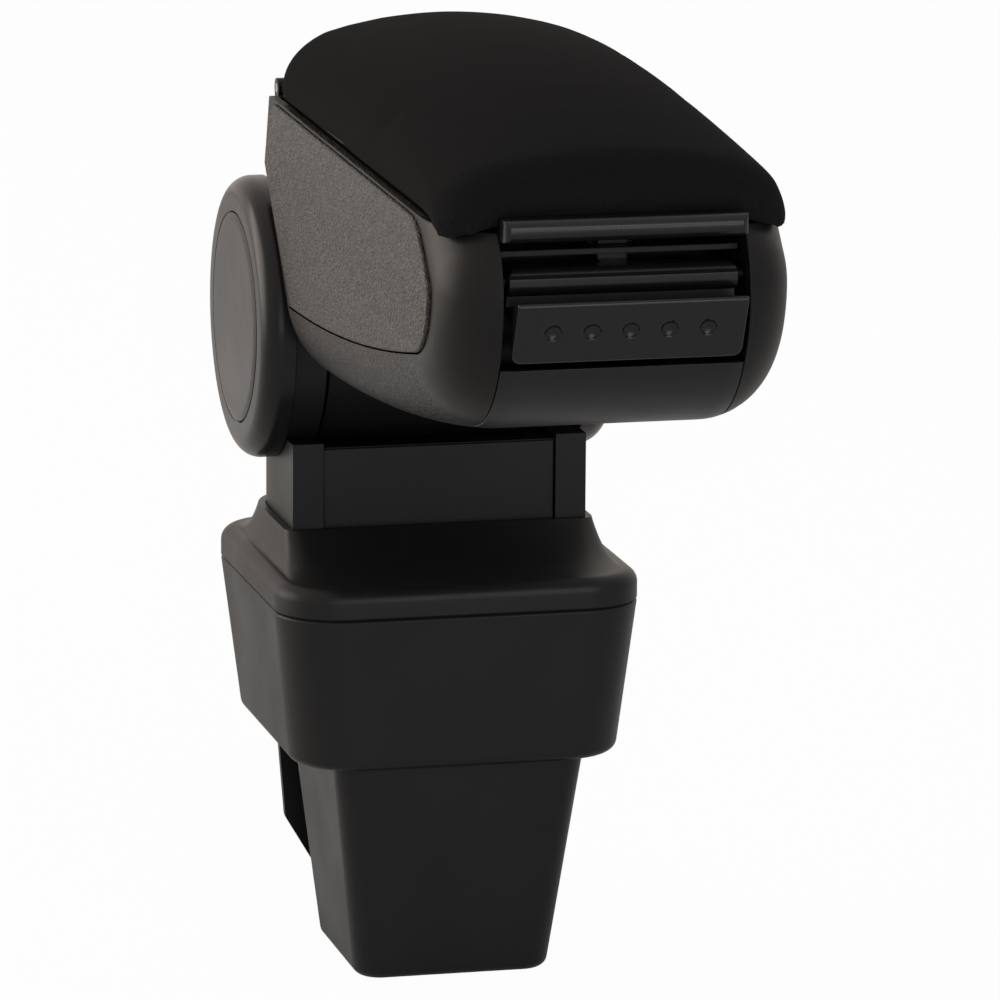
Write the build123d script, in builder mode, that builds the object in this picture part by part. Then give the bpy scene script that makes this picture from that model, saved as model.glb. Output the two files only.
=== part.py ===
from build123d import *
import os
from math import atan2, cos, degrees, radians, sin, sqrt

os.makedirs("parts", exist_ok=True)

# Car centre armrest. X is the width, -Y the front of the armrest, +Z up.
# The origin lies on the flat foot of the console plug, on the symmetry plane.

# Console tub
WALL = 2.6
PLUG_H = 79.4
PLUG_FOOT_W = 69.8
PLUG_FOOT_FRONT = -47.7
PLUG_FOOT_REAR = 22.9
PLUG_TOP_W = 90.0
PLUG_TOP_FRONT = -58.0
PLUG_TOP_REAR = 27.0
PLUG_R = 10.0
FOOT_EDGE_R = 4.0
BOX_H = 55.0
BOX_W = 130.0
BOX_D = 132.0
BOX_FOOT_MARGIN = 5.7
BOX_FOOT_FRONT = -61.9
BOX_FOOT_REAR = 59.3
BOX_R = 22.0
LIP_H = 3.6
LIP_T = 1.8
LIP_GAP = 0.35

# Rear leg under the tub
LEG_Y = 40.0
LEG_T = 3.0
LEG_DEPTH = 15.0
LEG_TOP_W = 92.0
LEG_MID_W = 85.0
LEG_MID_Z = 38.0
LEG_FOOT_W = 60.0
LEG_FOOT_Z = 17.0
LEG_EDGE_R = 5.0

# Flared base cover
RIM_H = 11.0
RIM_STEP = 5.5
RIM_EDGE_R = 5.0
SEAM_GROOVE = 0.9
FLARE_H = 12.4
FLARE_POWER = 2.6
FLARE_SLOPE = 0.1
FLARE_STEPS = 7
FLARE_WALL = 1.6
COLLAR_T = 2.4
COLUMN_GAP = 0.35

# Column and hinge ears
COLUMN_W = 106.0
COLUMN_FRONT = -20.0
COLUMN_REAR = 48.0
COLUMN_FRONT_R = 3.0
COLUMN_INNER_R = 1.4
COLUMN_REAR_R = 26.0
DECK_Z = 186.0
DECK_T = 3.0
EAR_T = 11.0
EAR_R = 48.5
EAR_STEP = 2.0
SADDLE_GAP = 1.0
PANEL_FOOT_Z = 146.0
PANEL_RECESS = 1.5
PANEL_GAP = 0.3
PANEL_FLANGE = 4.0
PANEL_FLANGE_T = 2.0

# Hinge: axle, discs and caps
HINGE_Y = 22.0
HINGE_Z = 226.5
AXLE_R = 6.0
AXLE_GAP = 0.08
DISC_R = 50.0
DISC_GAP = 0.5
DISC_T = 11.5
DISC_EDGE_R = 7.5
CAP_R = 37.3
CAP_GAP = 0.3
CAP_T = 2.6
CAP_PROUD = 0.6
CAP_EDGE = 3.0
BOLT_HEAD_AF = 19.0
BOLT_HEAD_T = 4.2
BOLT_POCKET_R = 13.0

# Steel bracket in the column
BRACKET_T = 3.0
BRACKET_INSET = 6.5
BRACKET_SLOT_GAP = 0.2
BRACKET_HEAD_R = 12.8
BRACKET_BEND_R = 4.0
BRACKET_FOOT_REAR = 44.0
BRACKET_BOLT_R = 2.4
BRACKET_BOLT_Y = 33.5
BRACKET_BOLT_PITCH = 22.0
BRACKET_BOLT_AF = 8.0
BRACKET_BOLT_HEAD_T = 3.4
BRACKET_NUT_T = 4.0
BRACKET_BOLT_TAIL = 1.0

# Swing arm: hinge barrel and slide tongue
BARREL_R = 47.0
BARREL_HUB_R = 14.0
BARREL_WALL = 4.0
BARREL_WEB = 14.0
WASHER_T = 1.2
WASHER_R = 15.0
WASHER_GAP = 0.1
BUSH_R = 9.0
BUSH_L = 14.0
TONGUE_W = 68.0
TONGUE_T = 10.0
TONGUE_Z = 236.0
TONGUE_END = -196.0
NECK_TOP_Z = 258.0
NECK_FOOT_Z = 207.0
NECK_FRONT = -40.0
SLIDE_TRAVEL = 100.0
STOP_Y = -82.0
STOP_R = 3.6
STOP_GAP = 0.4

# Armrest hull
HEAD_W = 116.0
HULL_T = 3.0
HULL_EDGE_R = 24.5
NOSE_Y = -272.0
NOSE_Z = 283.0
NOSE_UPPER_R = 30.0
NOSE_LOWER_R = 48.0
NOSE_BREAK = 136.0
BELLY_R = 1200.0
BELLY_ANGLE = 10.6
REAR_ANGLE = 41.0
REAR_GAP = 1.2
REAR_TOP_Y = -3.0
REAR_BULGE_Y = 5.0
REAR_BULGE_Z = 282.0
SEAM_W = 80.0
SEAM_GAP = 0.3
SEAM_LIP = 6.0
SEAM_LIP_T = 1.7
SEAM_LIP_GAP = 0.35
CHEEK_T = 2.6
CHEEK_BACK = -238.0
MOUTH_Z = 260.8
TOP_FRONT_Z = 304.2
TOP_REAR_Z = 309.2

# Grained side panels
SIDE_T = 2.8
SIDE_DEPTH = 1.4
SIDE_GAP = 0.3
SIDE_MARGIN = 0.6
SIDE_TOP_GAP = 1.2
SIDE_REAR_MARGIN = 5.0
SIDE_CROWN_R = 900.0
SIDE_EDGE_R = 0.9
SIDE_BROW_R = 24.0
SIDE_BACK_R = 12.0

# Storage tray, slide rails and screws
TRAY_W = 90.0
TRAY_FRONT = -232.0
TRAY_REAR = -36.0
TRAY_FLOOR_Z = 249.5
TRAY_T = 2.0
TRAY_R = 10.0
TRAY_FOOT_R = 4.0
FLANGE_DROP = 6.4
FLANGE_T = 2.0
FLANGE_GAP = 0.4
LEDGE_FRONT = -258.5
RAIL_GAP = 0.3
RAIL_T = 3.0
RAIL_LIP = 5.0
RAIL_FOOT_T = 2.5
RAIL_L = 128.0
RAIL_REAR = -52.0
SCREW_R = 1.5
SCREW_HEAD_R = 3.0
SCREW_HEAD_T = 1.6
BOSS_W = 8.4
BOSS_D = 7.0
BOSS_H = 26.0
BOSS_INSET = 6.3
BOSS_PITCH = 75.0
BOSS_MID_Y = -122.0
BELLY_SCREW_X = 24.0
BELLY_SCREW_Y = -214.0
BELLY_BOSS_R = 4.0

# Lid: pan, pad, hinge and buffers
LID_GAP = 0.8
PAN_GAP = 1.2
PAN_T = 3.0
PAN_FRONT = -261.0
PAN_RIB_GAP = 2.0
PAN_RIB_T = 1.6
PAN_RIB_H = 5.2
BAR_W = 80.0
BAR_FRONT = -271.0
BAR_H = 7.4
BAR_EDGE_R = 3.5
PAD_W = 115.0
PAD_FRONT = -264.0
PAD_REAR = -3.2
PAD_H = 28.5
PAD_R = 17.0
PAD_CROWN_R = 160.0
PAD_EDGE_R = 12.0
LID_PIN_Y = 1.5
LID_PIN_RISE = 2.0
LID_PIN_R = 1.75
LID_PIN_GAP = 0.05
KNUCKLE_R = 3.4
KNUCKLE_X = 42.0
KNUCKLE_L = 8.0
KNUCKLE_GAP = 0.4
BUFFER_R = 3.0
BUFFER_GAP = 0.15

# Latch: rocker lever with its pin
LEVER_W = 75.0
LEVER_PIN_Y = -260.5
LEVER_PIN_Z = 288.5
LEVER_PIN_R = 1.5
LEVER_PIN_GAP = 0.05
FLAP_LIP_Y = -280.0
FLAP_LIP_Z = 284.5
FLAP_FOOT_Y = -270.5
FLAP_FOOT_Z = 263.8
FLAP_T = 3.0
RIB_Y = -266.5
RIB_TOP_Z = 293.0
RIB_FOOT_Z = 284.4
RIB_EDGE_R = 3.4
RIB_LINE = 0.6
GROOVE_Y = -262.6
LEVER_BACK_Y = -257.0
DIMPLE_COUNT = 5
DIMPLE_PITCH = 12.6
DIMPLE_R = 3.1
DIMPLE_DEPTH = 1.7
KEEPER_W = 10.0
KEEPER_Y = -251.5
KEEPER_T = 2.6
KEEPER_H = 11.5
KEEPER_GAP = 0.5

# Derived levels and planes
FLOOR_Z = PLUG_H + WALL
BOX_FOOT_W = COLUMN_W + 2 * BOX_FOOT_MARGIN
SEAM_Z = PLUG_H + BOX_H
RIM_Z = SEAM_Z + RIM_H
COLLAR_Z = RIM_Z + FLARE_H
EAR_IN = COLUMN_W / 2 - EAR_T
DISC_IN = COLUMN_W / 2 + DISC_GAP
DISC_OUT = DISC_IN + DISC_T
HEAD_X = HEAD_W / 2
SEAM_X = SEAM_W / 2
TOP_ANGLE = degrees(atan2(TOP_REAR_Z - TOP_FRONT_Z, -PAD_FRONT))
LID_PIN_Z = TOP_REAR_Z + LID_PIN_RISE
RAIL_FRONT = RAIL_REAR - RAIL_L
PAN_SINK = PAN_T - LID_GAP
TOP_DIR = (0, -sin(radians(TOP_ANGLE)), cos(radians(TOP_ANGLE)))
top_plane = Plane(origin=(0, 0, TOP_REAR_Z), x_dir=(1, 0, 0), z_dir=TOP_DIR)
hinge_plane = Plane(origin=(0, HINGE_Y, HINGE_Z), x_dir=(0, 1, 0), z_dir=(1, 0, 0))


def section(width, front, rear, front_r, rear_r, height):
    """Level outline with its own front and rear corner radii."""
    with BuildSketch(Plane.XY.offset(height)) as outline:
        with Locations((0, (front + rear) / 2)):
            Rectangle(width, rear - front)
        fillet(outline.vertices().group_by(Axis.Y)[-1], rear_r)
        fillet(outline.vertices().group_by(Axis.Y)[0], front_r)
    return outline.sketch


def rear_plane(inset):
    """Slanted rear face of the hull, tangent to a circle round the hinge axis."""
    reach = DISC_R + REAR_GAP + inset
    normal = (0, -cos(radians(REAR_ANGLE)), sin(radians(REAR_ANGLE)))
    point = (0, HINGE_Y + reach * normal[1], HINGE_Z + reach * normal[2])
    return Plane(origin=point, x_dir=(1, 0, 0), z_dir=normal)


def back_plane(inset):
    """Upper rear face of the hull, leaning forward to the lid hinge."""
    rise = TOP_REAR_Z - REAR_BULGE_Z
    lean = REAR_BULGE_Y - REAR_TOP_Y
    length = sqrt(rise * rise + lean * lean)
    normal = (0, -rise / length, -lean / length)
    point = (0, REAR_BULGE_Y + inset * normal[1], REAR_BULGE_Z + inset * normal[2])
    return Plane(origin=point, x_dir=(1, 0, 0), z_dir=normal)


def belly_center():
    """Centre of the long belly arc in the side view, as (Y, Z)."""
    turn = radians(270 - BELLY_ANGLE)
    reach = NOSE_LOWER_R - BELLY_R
    return Vector(NOSE_Y + NOSE_LOWER_R + reach * cos(turn), NOSE_Z + reach * sin(turn))


def belly_height(y, inset):
    """Height of the belly on the symmetry plane at one distance from the front."""
    mid = belly_center()
    return mid.Y - sqrt((BELLY_R - inset) ** 2 - (y - mid.X) ** 2)


def hull_profile(inset, x):
    """Side view of the hull: nose and belly arcs, reaching past the lid and the rear."""
    upper_r = NOSE_UPPER_R - inset
    lower_r = NOSE_LOWER_R - inset
    belly_r = BELLY_R - inset
    upper = Vector(NOSE_Y + NOSE_UPPER_R, NOSE_Z)
    lower = Vector(NOSE_Y + NOSE_LOWER_R, NOSE_Z)
    turn = 270 - BELLY_ANGLE
    belly = belly_center()
    end_y = HINGE_Y + DISC_R
    end_turn = degrees(atan2(-sqrt(belly_r**2 - (end_y - belly.X) ** 2), end_y - belly.X))
    lean = Vector(sin(radians(NOSE_BREAK)), -cos(radians(NOSE_BREAK)))
    with BuildSketch(Plane.YZ.offset(x)) as side:
        with BuildLine():
            crown = CenterArc(upper, upper_r, NOSE_BREAK, 180 - NOSE_BREAK)
            CenterArc(lower, lower_r, 180, turn - 180)
            keel = CenterArc(belly, belly_r, turn, end_turn + 360 - turn)
            brow = Line(crown @ 0, crown @ 0 + lean * NOSE_LOWER_R)
            Polyline(keel @ 1, ((keel @ 1).X, (brow @ 1).Y), brow @ 1)
        make_face()
    return side.sketch


def hull_form(inset):
    """Solid boat-shaped hull: a core grown all round, then cut off at the rear."""
    with BuildPart() as form:
        core_x = HEAD_X - HULL_EDGE_R
        extrude(hull_profile(HULL_EDGE_R, -core_x), amount=2 * core_x, dir=(1, 0, 0))
        offset(amount=HULL_EDGE_R - inset, kind=Kind.ARC)
        split(bisect_by=rear_plane(inset), keep=Keep.TOP)
        split(bisect_by=back_plane(inset), keep=Keep.TOP)
    return form.part


def side_block(grow, x, depth):
    """Slab over the flat of the hull's side, kept off the lid and the rear."""
    with BuildPart() as block:
        extrude(hull_profile(HULL_EDGE_R + SIDE_MARGIN - grow, x), amount=depth, dir=(1, 0, 0))
        split(bisect_by=top_plane.offset(grow - SIDE_TOP_GAP), keep=Keep.BOTTOM)
        split(bisect_by=rear_plane(SIDE_REAR_MARGIN - grow), keep=Keep.TOP)
        split(bisect_by=back_plane(SIDE_REAR_MARGIN - grow), keep=Keep.TOP)
        back_edge = block.edges().filter_by(Axis.X).sort_by(Axis.Z)[-1]
        fillet(back_edge, SIDE_BACK_R + grow)
        brow_edge = block.edges().filter_by(Axis.X).filter_by_position(
            Axis.Y, NOSE_Y, CHEEK_BACK + SIDE_BROW_R).sort_by(Axis.Z)[-1]
        fillet(brow_edge, SIDE_BROW_R + grow)
    return block.part


# Console tub: stepped tapered moulding with the plug below and the rear leg
with BuildPart() as tub_room:
    loft(sections=[
        section(PLUG_FOOT_W - 2 * WALL, PLUG_FOOT_FRONT + WALL, PLUG_FOOT_REAR - WALL,
                PLUG_R - WALL, PLUG_R - WALL, WALL),
        section(PLUG_TOP_W - 2 * WALL, PLUG_TOP_FRONT + WALL, PLUG_TOP_REAR - WALL,
                PLUG_R - WALL, PLUG_R - WALL, FLOOR_Z),
    ])
    loft(sections=[
        section(BOX_FOOT_W - 2 * WALL, BOX_FOOT_FRONT + WALL, BOX_FOOT_REAR - WALL,
                BOX_R - WALL, BOX_R - WALL, FLOOR_Z),
        section(BOX_W - 2 * WALL, WALL - BOX_D / 2, BOX_D / 2 - WALL,
                BOX_R - WALL, BOX_R - WALL, SEAM_Z),
    ])

with BuildPart() as tub_box:
    loft(sections=[
        section(BOX_FOOT_W, BOX_FOOT_FRONT, BOX_FOOT_REAR, BOX_R, BOX_R, PLUG_H),
        section(BOX_W, -BOX_D / 2, BOX_D / 2, BOX_R, BOX_R, SEAM_Z),
    ])
    fillet(tub_box.faces().sort_by(Axis.Z)[0].edges(), FOOT_EDGE_R)

with BuildPart() as base_tub:
    loft(sections=[
        section(PLUG_FOOT_W, PLUG_FOOT_FRONT, PLUG_FOOT_REAR, PLUG_R, PLUG_R, 0),
        section(PLUG_TOP_W, PLUG_TOP_FRONT, PLUG_TOP_REAR, PLUG_R, PLUG_R, PLUG_H),
    ])
    fillet(base_tub.faces().sort_by(Axis.Z)[0].edges(), FOOT_EDGE_R)
    add(tub_box.part)
    add(tub_room.part, mode=Mode.SUBTRACT)
    # register lip that stands up inside the cover
    lip_in = WALL + LIP_GAP
    with BuildSketch(Plane.XY.offset(SEAM_Z - LIP_H)):
        add(section(BOX_W - 2 * lip_in, lip_in - BOX_D / 2, BOX_D / 2 - lip_in,
                    BOX_R - lip_in, BOX_R - lip_in, 0))
        offset(amount=-LIP_T, mode=Mode.SUBTRACT)
    extrude(amount=2 * LIP_H)
    # bolt holes for the bracket
    with BuildSketch(Plane.XY.offset(PLUG_H)):
        with Locations((0, BRACKET_BOLT_Y)):
            with GridLocations(BRACKET_BOLT_PITCH, 0, 4, 1):
                Circle(BRACKET_BOLT_R + AXLE_GAP)
    extrude(amount=WALL, mode=Mode.SUBTRACT)
base_tub.part.label = "base_tub"
export_step(base_tub.part, "parts/base_tub.step")

# Rear leg seated under the tub: drafted plate with a gusset at each edge
with BuildPart() as rear_leg:
    with BuildSketch(Plane.XZ.offset(-LEG_Y)) as leg_plate:
        with BuildLine():
            Polyline(
                (-LEG_TOP_W / 2, PLUG_H),
                (-LEG_MID_W / 2, LEG_MID_Z),
                (-LEG_FOOT_W / 2, LEG_FOOT_Z),
                (LEG_FOOT_W / 2, LEG_FOOT_Z),
                (LEG_MID_W / 2, LEG_MID_Z),
                (LEG_TOP_W / 2, PLUG_H),
                close=True,
            )
        make_face()
        fillet(leg_plate.vertices().group_by(Axis.Z)[0], LEG_EDGE_R)
    extrude(amount=-LEG_T)
    with BuildSketch(Plane.YZ.offset(LEG_MID_W / 2 - LEG_T)):
        with BuildLine():
            Polyline(
                (LEG_Y, PLUG_H),
                (LEG_Y, LEG_MID_Z),
                (LEG_Y + LEG_DEPTH, PLUG_H),
                close=True,
            )
        make_face()
    gusset = extrude(amount=LEG_T)
    mirror(gusset, about=Plane.YZ)
rear_leg.part.label = "rear_leg"
export_step(rear_leg.part, "parts/rear_leg.step")


# Base cover: a skirt on the tub and a concave flare rising to the column
def flare(shrink, drop):
    """Outlines from the skirt up to the collar, closing in along a concave curve."""
    outlines = []
    for step in range(FLARE_STEPS):
        share = step / (FLARE_STEPS - 1)
        collar_front = COLUMN_FRONT - COLUMN_GAP - COLLAR_T
        collar_rear = COLUMN_REAR + COLUMN_GAP + COLLAR_T
        collar_w = COLUMN_W + 2 * (COLUMN_GAP + COLLAR_T)
        rim_edge = BOX_D / 2 - RIM_STEP
        rim_r = BOX_R - RIM_STEP
        outlines.append(section(
            (1 - share) * (BOX_W - 2 * RIM_STEP) + share * collar_w - 2 * shrink,
            share * collar_front - (1 - share) * rim_edge + shrink,
            share * collar_rear + (1 - share) * rim_edge - shrink,
            (1 - share) * rim_r + share * (COLUMN_FRONT_R + COLLAR_T) - shrink,
            (1 - share) * rim_r + share * (COLUMN_REAR_R + COLLAR_T) - shrink,
            RIM_Z + FLARE_H * (FLARE_SLOPE * share + (1 - FLARE_SLOPE) * share**FLARE_POWER) - drop,
        ))
    return outlines


with BuildPart() as cover_room:
    add(section(BOX_W - 2 * WALL, WALL - BOX_D / 2, BOX_D / 2 - WALL,
                BOX_R - WALL, BOX_R - WALL, SEAM_Z))
    extrude(amount=RIM_H - WALL)
    loft(sections=flare(FLARE_WALL, WALL))
with BuildPart() as base_cover:
    add(section(BOX_W, -BOX_D / 2, BOX_D / 2, BOX_R, BOX_R, SEAM_Z))
    extrude(amount=RIM_H)
    fillet(base_cover.faces().sort_by(Axis.Z)[-1].edges(), RIM_EDGE_R)
    chamfer(base_cover.faces().sort_by(Axis.Z)[0].edges(), SEAM_GROOVE)
    loft(sections=flare(0, 0))
    add(cover_room.part, mode=Mode.SUBTRACT)
    add(section(COLUMN_W + 2 * COLUMN_GAP, COLUMN_FRONT - COLUMN_GAP, COLUMN_REAR + COLUMN_GAP,
                COLUMN_FRONT_R + COLUMN_GAP, COLUMN_REAR_R + COLUMN_GAP, SEAM_Z))
    extrude(amount=RIM_H + 2 * FLARE_H, mode=Mode.SUBTRACT)
base_cover.part.label = "base_cover"
export_step(base_cover.part, "parts/base_cover.step")

# Column: hollow post on the tub floor with two ears for the hinge
arm_slot_x = COLUMN_W / 2 - BRACKET_INSET - BRACKET_T / 2
with BuildPart() as saddle:
    add(section(COLUMN_W, COLUMN_FRONT, COLUMN_REAR, COLUMN_FRONT_R, COLUMN_REAR_R, FLOOR_Z))
    extrude(amount=DECK_Z - FLOOR_Z)
    with BuildSketch(hinge_plane):
        Circle(BARREL_R + SADDLE_GAP + DECK_T)
    extrude(amount=COLUMN_W / 2 - WALL / 2, both=True, mode=Mode.INTERSECT)
with BuildPart() as column_shell:
    add(section(COLUMN_W, COLUMN_FRONT, COLUMN_REAR, COLUMN_FRONT_R, COLUMN_REAR_R, FLOOR_Z))
    extrude(amount=DECK_Z - FLOOR_Z)
    add(section(COLUMN_W - 2 * WALL, COLUMN_FRONT + WALL, COLUMN_REAR - WALL,
                COLUMN_INNER_R, COLUMN_REAR_R - WALL, FLOOR_Z))
    extrude(amount=DECK_Z - DECK_T - FLOOR_Z, mode=Mode.SUBTRACT)
    with BuildSketch(Plane.YZ.offset(EAR_IN)):
        with Locations((HINGE_Y, HINGE_Z)):
            Circle(EAR_R)
        with Locations((COLUMN_FRONT, COLLAR_Z)):
            Rectangle(HINGE_Y - COLUMN_FRONT, DECK_Z + EAR_STEP - COLLAR_Z, align=(Align.MIN, Align.MIN))
    ear = extrude(amount=EAR_T)
    mirror(ear, about=Plane.YZ)
    # saddle that closes the column under the barrel
    add(saddle.part)
    with BuildSketch(hinge_plane):
        Circle(BARREL_R + SADDLE_GAP)
    extrude(amount=EAR_IN, both=True, mode=Mode.SUBTRACT)
    # slots that take the arms of the bracket, and the bore for the axle
    with BuildSketch(Plane.XY.offset(FLOOR_Z)):
        with Locations((arm_slot_x, HINGE_Y), (-arm_slot_x, HINGE_Y)):
            Rectangle(BRACKET_T + 2 * BRACKET_SLOT_GAP, 2 * (BRACKET_HEAD_R + BRACKET_SLOT_GAP))
    extrude(amount=HINGE_Z + BRACKET_HEAD_R + BRACKET_SLOT_GAP - FLOOR_Z, mode=Mode.SUBTRACT)
    with BuildSketch(hinge_plane):
        Circle(AXLE_R + AXLE_GAP)
    extrude(amount=COLUMN_W, both=True, mode=Mode.SUBTRACT)
    # window for the front panel, open towards the hinge
    with BuildSketch(Plane.XY.offset(PANEL_FOOT_Z)):
        with Locations((0, COLUMN_FRONT)):
            Rectangle(2 * EAR_IN, 2 * WALL)
    extrude(amount=DECK_Z - PANEL_FOOT_Z, mode=Mode.SUBTRACT)
column_shell.part.label = "column_shell"
export_step(column_shell.part, "parts/column_shell.step")

# Front panel: plate in the window with a flange behind the column's wall
with BuildPart() as column_front_panel:
    with BuildSketch(Plane.XZ.offset(-COLUMN_FRONT - PANEL_RECESS)):
        with Locations((0, (PANEL_FOOT_Z + DECK_Z) / 2)):
            Rectangle(2 * (EAR_IN - PANEL_GAP), DECK_Z - PANEL_FOOT_Z - 2 * PANEL_GAP)
    extrude(amount=PANEL_RECESS - WALL)
    fillet(column_front_panel.faces().sort_by(Axis.Y)[0].edges(), 0.6)
    # thicker back with a tab behind the wall under the window
    tab_foot = PANEL_FOOT_Z - PANEL_FLANGE
    with BuildSketch(Plane.XZ.offset(-COLUMN_FRONT - WALL)):
        with Locations((0, (tab_foot + DECK_Z - DECK_T - PANEL_GAP) / 2)):
            Rectangle(2 * (EAR_IN - PANEL_GAP), DECK_Z - DECK_T - PANEL_GAP - tab_foot)
    extrude(amount=-PANEL_FLANGE_T)
column_front_panel.part.label = "column_front_panel"
export_step(column_front_panel.part, "parts/column_front_panel.step")

# Steel bracket: a bent strip, its arms carrying the axle inside the ears
with BuildPart() as column_bracket:
    with BuildSketch(Plane.XZ.offset(-BRACKET_FOOT_REAR)):
        with BuildLine():
            FilletPolyline(
                (-arm_slot_x, HINGE_Z + BRACKET_HEAD_R),
                (-arm_slot_x, FLOOR_Z + BRACKET_T / 2),
                (arm_slot_x, FLOOR_Z + BRACKET_T / 2),
                (arm_slot_x, HINGE_Z + BRACKET_HEAD_R),
                radius=BRACKET_BEND_R,
            )
            offset(amount=BRACKET_T / 2, kind=Kind.INTERSECTION)
        make_face()
    extrude(amount=BRACKET_FOOT_REAR - HINGE_Y + BRACKET_HEAD_R)
    with BuildSketch(hinge_plane):
        Circle(BRACKET_HEAD_R)
        Rectangle(2 * BRACKET_HEAD_R, HINGE_Z - FLOOR_Z, align=(Align.CENTER, Align.MAX))
        with Locations((0, FLOOR_Z - HINGE_Z)):
            Rectangle(2 * BRACKET_FOOT_REAR, 2 * (BRACKET_BEND_R + BRACKET_T))
    extrude(amount=COLUMN_W, both=True, mode=Mode.INTERSECT)
    room = WALL + BRACKET_SLOT_GAP
    add(section(COLUMN_W - 2 * room, COLUMN_FRONT + room, COLUMN_REAR - room,
                COLUMN_FRONT_R, COLUMN_REAR_R - room, FLOOR_Z))
    extrude(amount=2 * HINGE_Z, mode=Mode.INTERSECT)
    with BuildSketch(hinge_plane):
        Circle(AXLE_R + AXLE_GAP)
    extrude(amount=COLUMN_W, both=True, mode=Mode.SUBTRACT)
    with BuildSketch(Plane.XY.offset(FLOOR_Z)):
        with Locations((0, BRACKET_BOLT_Y)):
            with GridLocations(BRACKET_BOLT_PITCH, 0, 4, 1):
                Circle(BRACKET_BOLT_R + AXLE_GAP)
    extrude(amount=BRACKET_T, mode=Mode.SUBTRACT)
column_bracket.part.label = "column_bracket"
export_step(column_bracket.part, "parts/column_bracket.step")

# Bolts through the bracket and the tub floor, and their nuts below
with BuildPart() as bracket_bolts:
    with BuildSketch(Plane.XY.offset(FLOOR_Z + BRACKET_T)):
        with Locations((0, BRACKET_BOLT_Y)):
            with GridLocations(BRACKET_BOLT_PITCH, 0, 4, 1):
                RegularPolygon(BRACKET_BOLT_AF / 2, 6, major_radius=False)
    extrude(amount=BRACKET_BOLT_HEAD_T)
    with BuildSketch(Plane.XY.offset(FLOOR_Z + BRACKET_T)):
        with Locations((0, BRACKET_BOLT_Y)):
            with GridLocations(BRACKET_BOLT_PITCH, 0, 4, 1):
                Circle(BRACKET_BOLT_R)
    extrude(amount=-(BRACKET_T + WALL + BRACKET_NUT_T + BRACKET_BOLT_TAIL))
bracket_bolts.part.label = "bracket_bolts"
export_step(bracket_bolts.part, "parts/bracket_bolts.step")

with BuildPart() as bracket_nuts:
    with BuildSketch(Plane.XY.offset(PLUG_H)):
        with Locations((0, BRACKET_BOLT_Y)):
            with GridLocations(BRACKET_BOLT_PITCH, 0, 4, 1):
                RegularPolygon(BRACKET_BOLT_AF / 2, 6, major_radius=False)
                Circle(BRACKET_BOLT_R + AXLE_GAP, mode=Mode.SUBTRACT)
    extrude(amount=-BRACKET_NUT_T)
bracket_nuts.part.label = "bracket_nuts"
export_step(bracket_nuts.part, "parts/bracket_nuts.step")

# Hinge axle: a bolt through both discs, with a jam nut on the right
pocket_x = DISC_OUT - CAP_T - CAP_GAP - BOLT_HEAD_T
with BuildPart() as hinge_axle:
    with BuildSketch(hinge_plane.offset(-pocket_x)):
        RegularPolygon(BOLT_HEAD_AF / 2, 6, major_radius=False)
    extrude(amount=-BOLT_HEAD_T)
    with BuildSketch(hinge_plane.offset(-pocket_x)):
        Circle(AXLE_R)
    extrude(amount=2 * pocket_x + BOLT_HEAD_T)
hinge_axle.part.label = "hinge_axle"
export_step(hinge_axle.part, "parts/hinge_axle.step")

with BuildPart() as axle_nut:
    with BuildSketch(hinge_plane.offset(pocket_x)):
        RegularPolygon(BOLT_HEAD_AF / 2, 6, major_radius=False)
        Circle(AXLE_R + AXLE_GAP, mode=Mode.SUBTRACT)
    extrude(amount=BOLT_HEAD_T)
axle_nut.part.label = "axle_nut"
export_step(axle_nut.part, "parts/axle_nut.step")

# Hinge discs outside the ears, each with a round cap let into its face
with BuildPart() as right_hinge_disc:
    with BuildSketch(hinge_plane.offset(DISC_IN)):
        Circle(DISC_R)
    extrude(amount=DISC_T)
    fillet(right_hinge_disc.faces().sort_by(Axis.X)[-1].edges(), DISC_EDGE_R)
    with BuildSketch(hinge_plane.offset(DISC_OUT)):
        Circle(CAP_R)
    extrude(amount=-CAP_T - CAP_GAP, mode=Mode.SUBTRACT)
    with BuildSketch(hinge_plane.offset(pocket_x)):
        Circle(BOLT_POCKET_R)
    extrude(amount=BOLT_HEAD_T, mode=Mode.SUBTRACT)
    with BuildSketch(hinge_plane.offset(DISC_IN)):
        Circle(AXLE_R + AXLE_GAP)
    extrude(amount=DISC_T, mode=Mode.SUBTRACT)
    chamfer(right_hinge_disc.edges().filter_by(GeomType.CIRCLE).filter_by_position(
        Axis.X, DISC_OUT - 0.01, DISC_OUT + 0.01).sort_by(SortBy.RADIUS)[0], 0.5)
    # ring on the inner face that stands on the ear
    with BuildSketch(hinge_plane.offset(DISC_IN)):
        Circle(BOLT_POCKET_R)
        Circle(AXLE_R + AXLE_GAP, mode=Mode.SUBTRACT)
    extrude(amount=-DISC_GAP)
right_hinge_disc.part.label = "right_hinge_disc"
export_step(right_hinge_disc.part, "parts/right_hinge_disc.step")

with BuildPart() as left_hinge_disc:
    mirror(right_hinge_disc.part, about=Plane.YZ)
left_hinge_disc.part.label = "left_hinge_disc"
export_step(left_hinge_disc.part, "parts/left_hinge_disc.step")

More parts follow.
